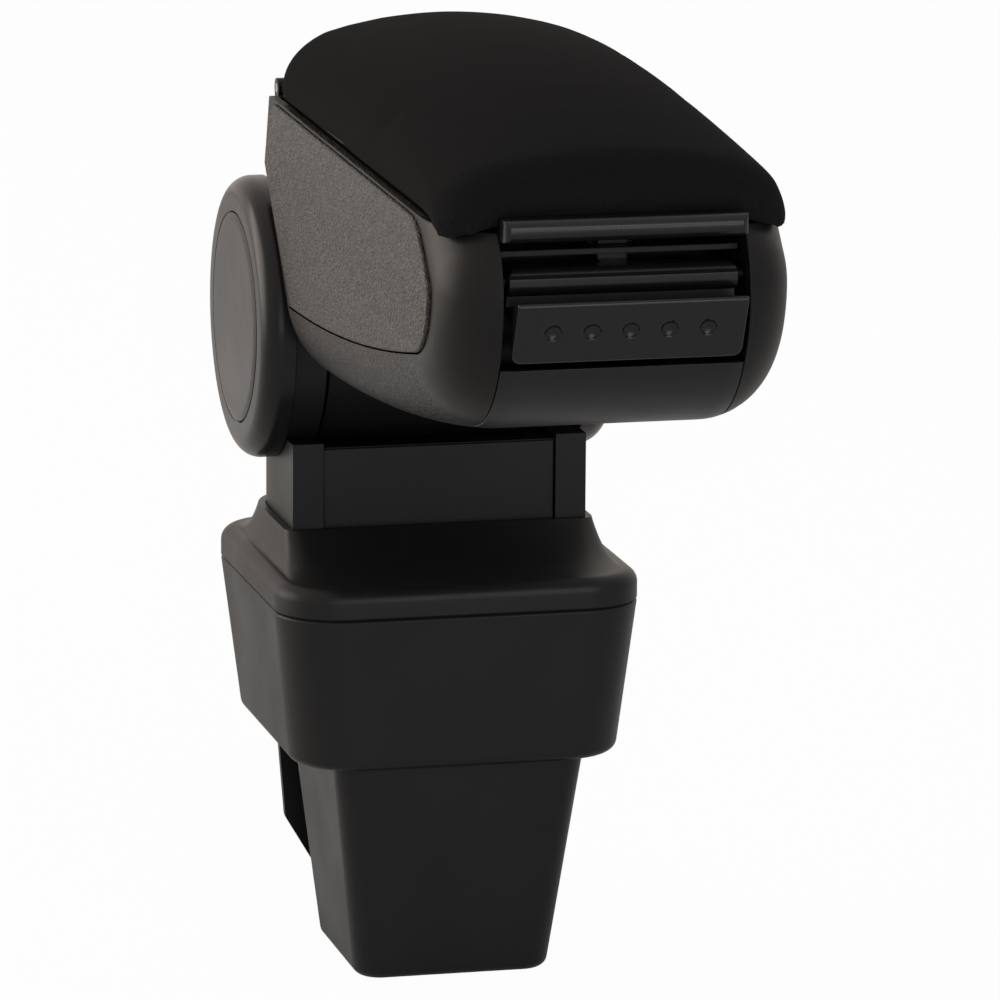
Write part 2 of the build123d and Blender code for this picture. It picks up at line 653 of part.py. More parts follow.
with BuildPart() as right_disc_cap:
    with BuildSketch(hinge_plane.offset(DISC_OUT - CAP_T)):
        Circle(CAP_R - CAP_GAP)
    extrude(amount=CAP_T + CAP_PROUD)
    chamfer(right_disc_cap.faces().sort_by(Axis.X)[-1].edges(), CAP_PROUD, CAP_EDGE)
    # spigot that snaps round the bolt head
    with BuildSketch(hinge_plane.offset(DISC_OUT - CAP_T)):
        Circle(BOLT_POCKET_R - CAP_GAP)
        Circle(BOLT_HEAD_AF * 0.6, mode=Mode.SUBTRACT)
    extrude(amount=-CAP_GAP - BOLT_HEAD_T / 2)
right_disc_cap.part.label = "right_disc_cap"
export_step(right_disc_cap.part, "parts/right_disc_cap.step")

with BuildPart() as left_disc_cap:
    mirror(right_disc_cap.part, about=Plane.YZ)
left_disc_cap.part.label = "left_disc_cap"
export_step(left_disc_cap.part, "parts/left_disc_cap.step")

# Swing arm: hinge barrel with a hub and web, a neck and the flat slide tongue
barrel_x = EAR_IN - WASHER_T - 2 * WASHER_GAP
slot_mid = STOP_Y - SLIDE_TRAVEL / 2
with BuildPart() as swing_arm:
    with BuildSketch(hinge_plane):
        Circle(BARREL_R)
    extrude(amount=barrel_x, both=True)
    with BuildSketch(Plane.YZ):
        with BuildLine():
            Polyline(
                (HINGE_Y, NECK_TOP_Z),
                (NECK_FRONT, TONGUE_Z + TONGUE_T),
                (NECK_FRONT, TONGUE_Z),
                (HINGE_Y - BARREL_R + TONGUE_T, NECK_FOOT_Z),
                (HINGE_Y, NECK_FOOT_Z),
                close=True,
            )
        make_face()
    extrude(amount=TONGUE_W / 2, both=True)
    with BuildSketch(Plane.XY.offset(TONGUE_Z)):
        with Locations((0, (TONGUE_END + NECK_FRONT) / 2)):
            Rectangle(TONGUE_W, NECK_FRONT - TONGUE_END + 2 * TONGUE_T)
        with Locations((0, slot_mid)):
            SlotOverall(SLIDE_TRAVEL + 2 * (STOP_R + STOP_GAP), 2 * (STOP_R + STOP_GAP),
                        rotation=90, mode=Mode.SUBTRACT)
    extrude(amount=TONGUE_T)
    fillet(swing_arm.edges().filter_by(Axis.Z).sort_by(Axis.Y)[:2], TONGUE_T)
    # open barrel ends round the hub, and the bore with its bush seats
    for side in (-1, 1):
        with BuildSketch(hinge_plane.offset(side * barrel_x)):
            Circle(BARREL_R - BARREL_WALL)
            Circle(BARREL_HUB_R, mode=Mode.SUBTRACT)
        extrude(amount=-side * (barrel_x - BARREL_WEB / 2), mode=Mode.SUBTRACT)
        with BuildSketch(hinge_plane.offset(side * barrel_x)):
            Circle(BUSH_R)
        extrude(amount=-side * BUSH_L, mode=Mode.SUBTRACT)
    with BuildSketch(hinge_plane):
        Circle(AXLE_R + 2 * AXLE_GAP)
    extrude(amount=barrel_x, both=True, mode=Mode.SUBTRACT)
swing_arm.part.label = "swing_arm"
export_step(swing_arm.part, "parts/swing_arm.step")

with BuildPart() as barrel_bushes:
    for side in (-1, 1):
        with BuildSketch(hinge_plane.offset(side * barrel_x)):
            Circle(BUSH_R)
            Circle(AXLE_R + AXLE_GAP, mode=Mode.SUBTRACT)
        extrude(amount=-side * BUSH_L)
barrel_bushes.part.label = "barrel_bushes"
export_step(barrel_bushes.part, "parts/barrel_bushes.step")

with BuildPart() as thrust_washers:
    for side in (-1, 1):
        with BuildSketch(hinge_plane.offset(side * (barrel_x + WASHER_GAP))):
            Circle(WASHER_R)
            Circle(AXLE_R + AXLE_GAP, mode=Mode.SUBTRACT)
        extrude(amount=side * WASHER_T)
thrust_washers.part.label = "thrust_washers"
export_step(thrust_washers.part, "parts/thrust_washers.step")

# Armrest hull: boat-shaped shell, split along two seams into sides and a belly
with BuildPart() as hull_outer:
    add(hull_form(0))
    split(bisect_by=top_plane, keep=Keep.BOTTOM)
with BuildPart() as hull_shell:
    add(hull_outer.part)
    add(hull_form(HULL_T), mode=Mode.SUBTRACT)
    # notches in the rear wall for the webs of the lid's knuckles
    with BuildSketch(Plane.XY.offset(TOP_REAR_Z - PAN_SINK - LID_GAP)):
        with Locations((KNUCKLE_X, REAR_TOP_Y), (-KNUCKLE_X, REAR_TOP_Y)):
            Rectangle(KNUCKLE_L + KNUCKLE_GAP, 6 * HULL_T)
    extrude(amount=4 * PAN_T, mode=Mode.SUBTRACT)
lip_span = 2 * (SEAM_X + SEAM_LIP)
with BuildPart() as seam_lips:
    # outer half of each lip runs under the side, its inner half is fused to the panel
    add(hull_form(HULL_T + SEAM_LIP_GAP))
    with BuildSketch(Plane.XY.offset(FLOOR_Z)):
        Rectangle(lip_span, -4 * NOSE_Y)
    extrude(amount=-2 * NOSE_Y, mode=Mode.INTERSECT)
    add(hull_form(HULL_T / 2).intersect(Box(SEAM_W - SEAM_GAP, -4 * NOSE_Y, -4 * NOSE_Y, mode=Mode.PRIVATE)))
    add(hull_form(HULL_T + SEAM_LIP_GAP + SEAM_LIP_T), mode=Mode.SUBTRACT)
    split(bisect_by=top_plane.offset(-FLANGE_DROP - 2 * FLANGE_T), keep=Keep.BOTTOM)
    split(bisect_by=Plane.XZ.offset(-CHEEK_BACK - SEAM_LIP_T), keep=Keep.BOTTOM)
    with BuildSketch(Plane.XY.offset(FLOOR_Z)):
        Rectangle(2 * (SEAM_X - SEAM_LIP), -4 * NOSE_Y)
    extrude(amount=-2 * NOSE_Y, mode=Mode.SUBTRACT)

# Right side of the hull, with the cheek's inner wall, tray bosses and a hinge lug
side_x = SEAM_X + SEAM_GAP / 2
flange_top = top_plane.offset(-FLANGE_DROP)
flange_foot = top_plane.offset(-FLANGE_DROP - FLANGE_T)
boss_x = HEAD_X - BOSS_INSET
lug_x = KNUCKLE_X + KNUCKLE_L / 2 + KNUCKLE_GAP
lug_drop = 4 * KNUCKLE_R
back_slope = (REAR_BULGE_Y - REAR_TOP_Y) / (TOP_REAR_Z - REAR_BULGE_Z)
with BuildPart() as cheek_wall:
    with BuildSketch(Plane.YZ.offset(side_x)):
        with Locations((CHEEK_BACK, NOSE_Z)):
            Rectangle(-NOSE_Y, 2 * NOSE_LOWER_R, align=(Align.MAX, Align.CENTER))
    extrude(amount=CHEEK_T)
    add(hull_outer.part, mode=Mode.INTERSECT)
with BuildPart() as right_hull_side:
    add(hull_shell.part)
    split(bisect_by=Plane.YZ.offset(side_x), keep=Keep.TOP)
    add(cheek_wall.part)
    add(side_block(SIDE_GAP, HEAD_X - SIDE_DEPTH, SIDE_T), mode=Mode.SUBTRACT)
    with BuildSketch(flange_foot):
        with Locations((boss_x, BOSS_MID_Y)):
            with GridLocations(0, BOSS_PITCH, 1, 3):
                Rectangle(BOSS_W, BOSS_D)
    extrude(amount=-BOSS_H)
    with BuildSketch(flange_foot):
        with Locations((boss_x, BOSS_MID_Y)):
            with GridLocations(0, BOSS_PITCH, 1, 3):
                Circle(SCREW_R + LID_PIN_GAP)
    extrude(amount=-BOSS_H / 2, mode=Mode.SUBTRACT)
    with BuildSketch(Plane.YZ.offset(lug_x)):
        with Locations((LID_PIN_Y, LID_PIN_Z)):
            Circle(KNUCKLE_R)
        with Locations((REAR_TOP_Y + lug_drop * back_slope - HULL_T / 2, TOP_REAR_Z - lug_drop)):
            Rectangle(HULL_T / 2, HULL_T)
        make_hull()
    extrude(amount=KNUCKLE_L)
    with BuildSketch(Plane.YZ.offset(lug_x)):
        with Locations((LID_PIN_Y, LID_PIN_Z)):
            Circle(LID_PIN_R + LID_PIN_GAP)
    extrude(amount=KNUCKLE_L, mode=Mode.SUBTRACT)
    with BuildSketch(Plane.YZ.offset(side_x)):
        with Locations((LEVER_PIN_Y, LEVER_PIN_Z)):
            Circle(LEVER_PIN_R + LEVER_PIN_GAP)
    extrude(amount=CHEEK_T, mode=Mode.SUBTRACT)
right_hull_side.part.label = "right_hull_side"
export_step(right_hull_side.part, "parts/right_hull_side.step")

with BuildPart() as left_hull_side:
    mirror(right_hull_side.part, about=Plane.YZ)
left_hull_side.part.label = "left_hull_side"
export_step(left_hull_side.part, "parts/left_hull_side.step")

# Grained panels let into the flat of each side
with BuildPart() as right_side_panel:
    add(side_block(0, HEAD_X - SIDE_DEPTH, 2 * SIDE_T))
    with BuildSketch(Plane.XZ.offset(-NOSE_Y)):
        with Locations((HEAD_X - SIDE_DEPTH + SIDE_T - SIDE_CROWN_R, NOSE_Z)):
            Circle(SIDE_CROWN_R)
    extrude(amount=4 * NOSE_Y, both=True, mode=Mode.INTERSECT)
    fillet(right_side_panel.faces().sort_by(Axis.X)[-1].edges(), SIDE_EDGE_R)
right_side_panel.part.label = "right_side_panel"
export_step(right_side_panel.part, "parts/right_side_panel.step")

with BuildPart() as left_side_panel:
    mirror(right_side_panel.part, about=Plane.YZ)
left_side_panel.part.label = "left_side_panel"
export_step(left_side_panel.part, "parts/left_side_panel.step")

# Belly panel between the seams: chin, belly and rear wall in one moulding
with BuildPart() as belly_panel:
    add(hull_shell.part)
    with BuildSketch(Plane.XY.offset(FLOOR_Z)):
        Rectangle(SEAM_W - SEAM_GAP, -4 * NOSE_Y)
    extrude(amount=-NOSE_Y, mode=Mode.INTERSECT)
    with BuildSketch(Plane.XY.offset(MOUTH_Z)):
        with Locations((0, CHEEK_BACK)):
            Rectangle(SEAM_W, -NOSE_Y, align=(Align.CENTER, Align.MAX))
    extrude(amount=-NOSE_Y, mode=Mode.SUBTRACT)
    add(seam_lips.part)
    # doorway in the rear wall for the tongue
    with BuildSketch(Plane.XZ.offset(-HINGE_Y)):
        with Locations((0, TONGUE_Z + TONGUE_T / 2)):
            Rectangle(TONGUE_W + 2 * HULL_T, 2 * TONGUE_T + HULL_T)
    extrude(amount=HINGE_Y - RAIL_REAR, mode=Mode.SUBTRACT)
    with BuildSketch(Plane.XY.offset(belly_height(BELLY_SCREW_Y, 0) - HULL_T)):
        with Locations((BELLY_SCREW_X, BELLY_SCREW_Y), (-BELLY_SCREW_X, BELLY_SCREW_Y)):
            Circle(SCREW_R + LID_PIN_GAP)
    extrude(amount=4 * HULL_T, mode=Mode.SUBTRACT)
    with BuildSketch(Plane.XY.offset(belly_height(BELLY_SCREW_Y, 0) - HULL_T)):
        with Locations((BELLY_SCREW_X, BELLY_SCREW_Y), (-BELLY_SCREW_X, BELLY_SCREW_Y)):
            Circle(SCREW_HEAD_R + LID_PIN_GAP)
    extrude(amount=HULL_T + SCREW_HEAD_T, mode=Mode.SUBTRACT)
belly_panel.part.label = "belly_panel"
export_step(belly_panel.part, "parts/belly_panel.step")

# Flange with a ledge behind the finger gap, and the storage tray hung under it
tray_mid = (TRAY_FRONT + TRAY_REAR) / 2
rail_x = TONGUE_W / 2 + RAIL_GAP + RAIL_T / 2
rail_mid = (RAIL_FRONT + RAIL_REAR) / 2
rail_pitch = (RAIL_REAR - RAIL_FRONT) * 0.4
boss_foot = belly_height(BELLY_SCREW_Y - BELLY_BOSS_R, HULL_T) + SEAM_LIP_GAP
with BuildPart() as tray_flange:
    add(hull_form(HULL_T + FLANGE_GAP))
    split(bisect_by=flange_top, keep=Keep.BOTTOM)
    split(bisect_by=flange_foot, keep=Keep.TOP)
    split(bisect_by=Plane.XZ.offset(-CHEEK_BACK - SEAM_LIP_T), keep=Keep.BOTTOM)
    with BuildSketch(flange_top):
        with Locations((0, LEDGE_FRONT)):
            Rectangle(SEAM_W - SEAM_GAP - 2 * FLANGE_GAP, TRAY_FRONT - LEDGE_FRONT,
                      align=(Align.CENTER, Align.MIN))
    extrude(amount=-FLANGE_T)
    # slot for the keeper of the lid, the mouth of the tray and the screw holes
    with BuildSketch(flange_top):
        with Locations((0, KEEPER_Y + KEEPER_T / 2)):
            Rectangle(KEEPER_W + 2 * KEEPER_T, KEEPER_T + 4 * LID_GAP)
        with Locations((0, tray_mid)):
            RectangleRounded(TRAY_W - 2 * TRAY_T, TRAY_REAR - TRAY_FRONT - 2 * TRAY_T, TRAY_R - TRAY_T)
        with Locations((0, BOSS_MID_Y)):
            with GridLocations(2 * boss_x, BOSS_PITCH, 2, 3):
                Circle(SCREW_R + LID_PIN_GAP)
    extrude(amount=-FLANGE_T, mode=Mode.SUBTRACT)
tray_flange.part.label = "tray_flange"
export_step(tray_flange.part, "parts/tray_flange.step")

with BuildPart() as storage_tray:
    with BuildSketch(Plane.XY.offset(TRAY_FLOOR_Z)):
        with Locations((0, tray_mid)):
            RectangleRounded(TRAY_W, TRAY_REAR - TRAY_FRONT, TRAY_R)
    extrude(amount=TOP_REAR_Z - TRAY_FLOOR_Z)
    fillet(storage_tray.faces().sort_by(Axis.Z)[0].edges(), TRAY_FOOT_R)
    split(bisect_by=flange_foot, keep=Keep.BOTTOM)
    with BuildSketch(Plane.XY.offset(TRAY_FLOOR_Z + TRAY_T)):
        with Locations((0, tray_mid)):
            RectangleRounded(TRAY_W - 2 * TRAY_T, TRAY_REAR - TRAY_FRONT - 2 * TRAY_T, TRAY_R - TRAY_T)
    extrude(amount=TOP_REAR_Z - TRAY_FLOOR_Z, mode=Mode.SUBTRACT)
    with BuildSketch(Plane.XY.offset(boss_foot)):
        with Locations((BELLY_SCREW_X, BELLY_SCREW_Y), (-BELLY_SCREW_X, BELLY_SCREW_Y)):
            Circle(BELLY_BOSS_R)
    extrude(amount=TRAY_FLOOR_Z - boss_foot + TRAY_T / 2)
    with BuildSketch(Plane.XY.offset(boss_foot)):
        with Locations((BELLY_SCREW_X, BELLY_SCREW_Y), (-BELLY_SCREW_X, BELLY_SCREW_Y)):
            Circle(SCREW_R + LID_PIN_GAP)
    extrude(amount=TRAY_FLOOR_Z - boss_foot, mode=Mode.SUBTRACT)
    with BuildSketch(Plane.XY.offset(TRAY_FLOOR_Z)):
        with Locations((0, rail_mid)):
            with GridLocations(2 * rail_x, rail_pitch, 2, 3):
                Circle(SCREW_R + LID_PIN_GAP)
        with Locations((0, STOP_Y)):
            Circle(STOP_R + LID_PIN_GAP)
    extrude(amount=TRAY_T, mode=Mode.SUBTRACT)
storage_tray.part.label = "storage_tray"
export_step(storage_tray.part, "parts/storage_tray.step")

# Channel rails under the tray that run on the edges of the tongue
with BuildPart() as right_slide_rail:
    rail_out = TONGUE_W / 2 + RAIL_GAP + RAIL_T
    rail_foot = TONGUE_Z - RAIL_GAP - RAIL_FOOT_T
    with BuildSketch(Plane.XZ.offset(-RAIL_REAR)):
        with Locations((rail_out, rail_foot)):
            Rectangle(RAIL_T + RAIL_LIP + RAIL_GAP, TRAY_FLOOR_Z - rail_foot, align=(Align.MAX, Align.MIN))
        with Locations((rail_out - RAIL_T, TONGUE_Z - RAIL_GAP)):
            Rectangle(RAIL_T + 2 * RAIL_LIP, TONGUE_T + 2 * RAIL_GAP, align=(Align.MAX, Align.MIN),
                      mode=Mode.SUBTRACT)
    extrude(amount=RAIL_REAR - RAIL_FRONT)
    with BuildSketch(Plane.XY.offset(TRAY_FLOOR_Z)):
        with Locations((rail_x, rail_mid)):
            with GridLocations(0, rail_pitch, 1, 3):
                Circle(SCREW_R - LID_PIN_GAP / 5 + LID_PIN_GAP)
    extrude(amount=-TONGUE_T, mode=Mode.SUBTRACT)
right_slide_rail.part.label = "right_slide_rail"
export_step(right_slide_rail.part, "parts/right_slide_rail.step")

with BuildPart() as left_slide_rail:
    mirror(right_slide_rail.part, about=Plane.YZ)
left_slide_rail.part.label = "left_slide_rail"
export_step(left_slide_rail.part, "parts/left_slide_rail.step")

# Screws: rails to tray, tray to the hull sides, belly to tray
with BuildPart() as rail_screws:
    with BuildSketch(Plane.XY.offset(TRAY_FLOOR_Z + TRAY_T)):
        with Locations((0, rail_mid)):
            with GridLocations(2 * rail_x, rail_pitch, 2, 3):
                Circle(SCREW_HEAD_R)
    extrude(amount=SCREW_HEAD_T)
    with BuildSketch(Plane.XY.offset(TRAY_FLOOR_Z + TRAY_T)):
        with Locations((0, rail_mid)):
            with GridLocations(2 * rail_x, rail_pitch, 2, 3):
                Circle(SCREW_R - LID_PIN_GAP)
    extrude(amount=-TONGUE_T)
rail_screws.part.label = "rail_screws"
export_step(rail_screws.part, "parts/rail_screws.step")

with BuildPart() as tray_screws:
    with BuildSketch(flange_top):
        with Locations((0, BOSS_MID_Y)):
            with GridLocations(2 * boss_x, BOSS_PITCH, 2, 3):
                Circle(SCREW_HEAD_R)
    extrude(amount=SCREW_HEAD_T)
    with BuildSketch(flange_top):
        with Locations((0, BOSS_MID_Y)):
            with GridLocations(2 * boss_x, BOSS_PITCH, 2, 3):
                Circle(SCREW_R)
    extrude(amount=-BOSS_H / 3 - FLANGE_T)
tray_screws.part.label = "tray_screws"
export_step(tray_screws.part, "parts/tray_screws.step")

with BuildPart() as belly_screws:
    head_z = belly_height(BELLY_SCREW_Y, 0) + SCREW_HEAD_T
    with BuildSketch(Plane.XY.offset(head_z)):
        with Locations((BELLY_SCREW_X, BELLY_SCREW_Y), (-BELLY_SCREW_X, BELLY_SCREW_Y)):
            Circle(SCREW_HEAD_R)
    extrude(amount=-SCREW_HEAD_T + SEAM_LIP_GAP)
    with BuildSketch(Plane.XY.offset(head_z)):
        with Locations((BELLY_SCREW_X, BELLY_SCREW_Y), (-BELLY_SCREW_X, BELLY_SCREW_Y)):
            Circle(SCREW_R)
    extrude(amount=TRAY_FLOOR_Z - head_z - TRAY_T)
belly_screws.part.label = "belly_screws"
export_step(belly_screws.part, "parts/belly_screws.step")

# Stop pin under the tray, running in the slot of the tongue
with BuildPart() as slide_stop_pin:
    with BuildSketch(Plane.XY.offset(TRAY_FLOOR_Z + TRAY_T)):
        with Locations((0, STOP_Y)):
            Circle(STOP_R + 2 * TRAY_T)
    extrude(amount=TRAY_T / 2)
    with BuildSketch(Plane.XY.offset(TRAY_FLOOR_Z + TRAY_T)):
        with Locations((0, STOP_Y)):
            Circle(STOP_R)
    extrude(amount=-(TRAY_FLOOR_Z + TRAY_T - TONGUE_Z))
slide_stop_pin.part.label = "slide_stop_pin"
export_step(slide_stop_pin.part, "parts/slide_stop_pin.step")

# Pins of the lid hinge and of the latch
with BuildPart() as lid_hinge_pins:
    for side in (-1, 1):
        with BuildSketch(Plane.YZ.offset(side * (KNUCKLE_X - KNUCKLE_L / 2))):
            with Locations((LID_PIN_Y, LID_PIN_Z)):
                Circle(LID_PIN_R)
        extrude(amount=side * (2 * KNUCKLE_L + KNUCKLE_GAP))
lid_hinge_pins.part.label = "lid_hinge_pins"
export_step(lid_hinge_pins.part, "parts/lid_hinge_pins.step")

with BuildPart() as latch_pin:
    with BuildSketch(Plane.YZ):
        with Locations((LEVER_PIN_Y, LEVER_PIN_Z)):
            Circle(LEVER_PIN_R)
    extrude(amount=side_x + CHEEK_T, both=True)
latch_pin.part.label = "latch_pin"
export_step(latch_pin.part, "parts/latch_pin.step")

# Lid pan: flat moulding with the grip bar in front and hinge knuckles behind
pan_foot = top_plane.offset(-PAN_SINK)
pan_top = top_plane.offset(LID_GAP)
bar_back = PAN_FRONT + SEAM_GAP
with BuildPart() as lid_pan:
    add(hull_form(HULL_T + PAN_GAP))
    split(bisect_by=pan_top, keep=Keep.BOTTOM)
    split(bisect_by=pan_foot, keep=Keep.TOP)
    split(bisect_by=Plane.XZ.offset(-CHEEK_BACK - PAN_GAP), keep=Keep.BOTTOM)
    with BuildSketch(pan_foot):
        with Locations((0, PAN_FRONT)):
            Rectangle(SEAM_W - 2 * PAN_GAP, TRAY_FRONT - PAN_FRONT, align=(Align.CENTER, Align.MIN))
    extrude(amount=PAN_T)
    with BuildSketch(pan_foot):
        with Locations((0, BAR_FRONT)):
            Rectangle(BAR_W, bar_back - BAR_FRONT, align=(Align.CENTER, Align.MIN))
    extrude(amount=BAR_H)
    fillet(lid_pan.faces().sort_by(Axis.Y)[0].edges(), BAR_EDGE_R)
    with BuildSketch(pan_foot):
        with Locations((0, KEEPER_Y)):
            Rectangle(KEEPER_W, KEEPER_T, align=(Align.CENTER, Align.MIN))
    extrude(amount=-KEEPER_H)
    # frame of ribs that drops into the mouth of the tray, with two cross ribs
    with BuildSketch(pan_foot):
        rib_w = TRAY_W - 2 * (TRAY_T + PAN_RIB_GAP)
        rib_l = TRAY_REAR - TRAY_FRONT - 2 * (TRAY_T + PAN_RIB_GAP)
        with Locations((0, tray_mid)):
            RectangleRounded(rib_w, rib_l, TRAY_R - TRAY_T)
            RectangleRounded(rib_w - 2 * PAN_RIB_T, rib_l - 2 * PAN_RIB_T, TRAY_R - TRAY_T - PAN_RIB_T,
                             mode=Mode.SUBTRACT)
            with GridLocations(0, rib_l / 3, 1, 2):
                Rectangle(rib_w - PAN_RIB_T, PAN_RIB_T)
    extrude(amount=-PAN_RIB_H)
    for side in (-1, 1):
        with BuildSketch(Plane.YZ.offset(side * (KNUCKLE_X - KNUCKLE_L / 2))):
            with Locations((LID_PIN_Y, LID_PIN_Z)):
                Circle(KNUCKLE_R)
            with Locations((LID_PIN_Y, TOP_REAR_Z - PAN_SINK)):
                Rectangle(3 * KNUCKLE_R, PAN_T - KNUCKLE_GAP, align=(Align.MAX, Align.MIN))
            with Locations((LID_PIN_Y, LID_PIN_Z)):
                Circle(LID_PIN_R + LID_PIN_GAP, mode=Mode.SUBTRACT)
        extrude(amount=side * KNUCKLE_L)
lid_pan.part.label = "lid_pan"
export_step(lid_pan.part, "parts/lid_pan.step")

# Padded lid: crowned block on the pan, cut back behind the grip bar
with BuildPart() as lid_pad:
    with BuildSketch(pan_top):
        with Locations((0, (PAD_FRONT + PAD_REAR) / 2)):
            RectangleRounded(PAD_W, PAD_REAR - PAD_FRONT, PAD_R)
    extrude(amount=PAD_H)
    crown_z = TOP_REAR_Z + LID_GAP + PAD_H - PAD_CROWN_R
    crown = Plane(origin=(0, 0, crown_z), x_dir=(1, 0, 0), z_dir=(0, -TOP_DIR[2], TOP_DIR[1]))
    with BuildSketch(crown):
        Circle(PAD_CROWN_R)
    extrude(amount=-4 * NOSE_Y, both=True, mode=Mode.INTERSECT)
    fillet(lid_pad.faces().sort_by(Axis.Z)[-1].edges(), PAD_EDGE_R)
    with BuildSketch(pan_top):
        with Locations((0, bar_back + SEAM_GAP)):
            Rectangle(BAR_W + 2 * SEAM_GAP, PAN_T + BAR_H, align=(Align.CENTER, Align.MAX))
    extrude(amount=BAR_H - PAN_T + SEAM_GAP, mode=Mode.SUBTRACT)
lid_pad.part.label = "lid_pad"
export_step(lid_pad.part, "parts/lid_pad.step")

# Rubber buffers under the pan that land on the tray flange
with BuildPart() as lid_buffers:
    with BuildSketch(pan_foot):
        buffer_x = boss_x - BUFFER_R
        with Locations((buffer_x, TRAY_FRONT + BUFFER_R), (-buffer_x, TRAY_FRONT + BUFFER_R)):
            Circle(BUFFER_R)
    extrude(amount=-(FLANGE_DROP - PAN_SINK - BUFFER_GAP))
lid_buffers.part.label = "lid_buffers"
export_step(lid_buffers.part, "parts/lid_buffers.step")

# Latch lever: flap with thumb dimples, a grooved rib above it and a hooked nose
flap_lean = atan2(FLAP_FOOT_Y - FLAP_LIP_Y, FLAP_LIP_Z - FLAP_FOOT_Z)
dimple_ball = (DIMPLE_R**2 + DIMPLE_DEPTH**2) / (2 * DIMPLE_DEPTH)
with BuildPart() as latch_lever:
    with BuildSketch(Plane.YZ.offset(-LEVER_W / 2)):
        with BuildLine():
            Polyline(
                (FLAP_FOOT_Y, FLAP_FOOT_Z),
                (FLAP_LIP_Y, FLAP_LIP_Z),
                (FLAP_LIP_Y + FLAP_T, FLAP_LIP_Z),
                (GROOVE_Y, FLAP_LIP_Z - 1.3 * FLAP_T),
                (GROOVE_Y, RIB_FOOT_Z),
                (RIB_Y, RIB_FOOT_Z),
                (RIB_Y, RIB_TOP_Z),
                (LEVER_BACK_Y, RIB_TOP_Z),
                (LEVER_BACK_Y, LEVER_PIN_Z - 3 * FLAP_T - LEVER_PIN_R),
                (FLAP_LIP_Y + 3 * FLAP_T, FLAP_LIP_Z - 2.6 * FLAP_T),
                (FLAP_FOOT_Y + FLAP_T, FLAP_FOOT_Z),
                close=True,
            )
        make_face()
    extrude(amount=LEVER_W)
    fillet(latch_lever.edges().filter_by(Axis.X).sort_by(Axis.Y)[0], FLAP_T / 2.5)
    rib_edges = latch_lever.edges().filter_by(Axis.X).filter_by_position(
        Axis.Y, RIB_Y - LEVER_PIN_GAP, RIB_Y + LEVER_PIN_GAP)
    fillet(rib_edges, RIB_EDGE_R)
    with BuildSketch(Plane.XZ.offset(-LEVER_BACK_Y)) as front_view:
        with Locations((0, FLAP_FOOT_Z)):
            Rectangle(LEVER_W, RIB_TOP_Z - FLAP_FOOT_Z, align=(Align.CENTER, Align.MIN))
        fillet(front_view.vertices().group_by(Axis.Z)[0], FLAP_T)
    extrude(amount=LEVER_W, mode=Mode.INTERSECT)
    # fine line that sets off the top of the rib as a bead
    with Locations((0, RIB_Y, RIB_TOP_Z - 0.7 * RIB_EDGE_R)):
        Box(LEVER_W, 3 * RIB_LINE, RIB_LINE, mode=Mode.SUBTRACT)
    # hooked nose behind the rib
    with BuildSketch(Plane.YZ.offset(-KEEPER_W / 2)):
        with BuildLine():
            Polyline(
                (LEVER_BACK_Y - FLAP_T / 2, RIB_TOP_Z - FLAP_T),
                (LEVER_BACK_Y - FLAP_T / 2, RIB_TOP_Z),
                (KEEPER_Y - KEEPER_GAP, RIB_TOP_Z),
                (KEEPER_Y - KEEPER_GAP, RIB_TOP_Z - FLAP_T / 2),
                (LEVER_BACK_Y, RIB_TOP_Z - 1.5 * FLAP_T),
                close=True,
            )
        make_face()
    extrude(amount=KEEPER_W)
    with BuildSketch(Plane.YZ.offset(-LEVER_W / 2)):
        with Locations((LEVER_PIN_Y, LEVER_PIN_Z)):
            Circle(LEVER_PIN_R + LEVER_PIN_GAP)
    extrude(amount=LEVER_W, mode=Mode.SUBTRACT)
    # row of thumb dimples in the middle of the flap
    ball_out = dimple_ball - DIMPLE_DEPTH
    ball_y = (FLAP_FOOT_Y + FLAP_LIP_Y) / 2 - ball_out * cos(flap_lean)
    ball_z = (FLAP_FOOT_Z + FLAP_LIP_Z) / 2 - ball_out * sin(flap_lean)
    with Locations((0, ball_y, ball_z)):
        with GridLocations(DIMPLE_PITCH, 0, DIMPLE_COUNT, 1):
            Sphere(dimple_ball, mode=Mode.SUBTRACT)
latch_lever.part.label = "latch_lever"
export_step(latch_lever.part, "parts/latch_lever.step")
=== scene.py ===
"""Looks of a black slide-and-fold car armrest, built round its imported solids."""
import logging
import math
from dataclasses import dataclass
from enum import Enum
from typing import Any, Iterable, Sequence

import bmesh
import bpy
from mathutils import Matrix, Vector


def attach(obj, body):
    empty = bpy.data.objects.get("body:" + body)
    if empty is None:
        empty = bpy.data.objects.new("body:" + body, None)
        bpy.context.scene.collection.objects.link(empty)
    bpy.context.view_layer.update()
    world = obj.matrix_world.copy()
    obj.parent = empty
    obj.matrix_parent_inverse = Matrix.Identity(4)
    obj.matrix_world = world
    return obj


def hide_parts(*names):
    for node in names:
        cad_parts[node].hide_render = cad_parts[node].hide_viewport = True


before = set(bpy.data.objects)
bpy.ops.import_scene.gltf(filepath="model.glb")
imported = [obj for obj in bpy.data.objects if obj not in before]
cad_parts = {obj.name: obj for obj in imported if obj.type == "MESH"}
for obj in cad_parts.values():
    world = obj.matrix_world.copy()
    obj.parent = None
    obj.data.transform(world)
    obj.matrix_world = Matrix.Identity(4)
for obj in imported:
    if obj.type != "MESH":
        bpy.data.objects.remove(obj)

LOG = logging.getLogger("armrest")
MM = 0.001
FULL_TURN = 2.0 * math.pi
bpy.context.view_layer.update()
# an edge that turns by more than this stays sharp
SMOOTH_ANGLE = math.radians(32.0)
# neighbouring faces that turn by less than this are one flat
FLAT_ANGLE = math.radians(0.15)
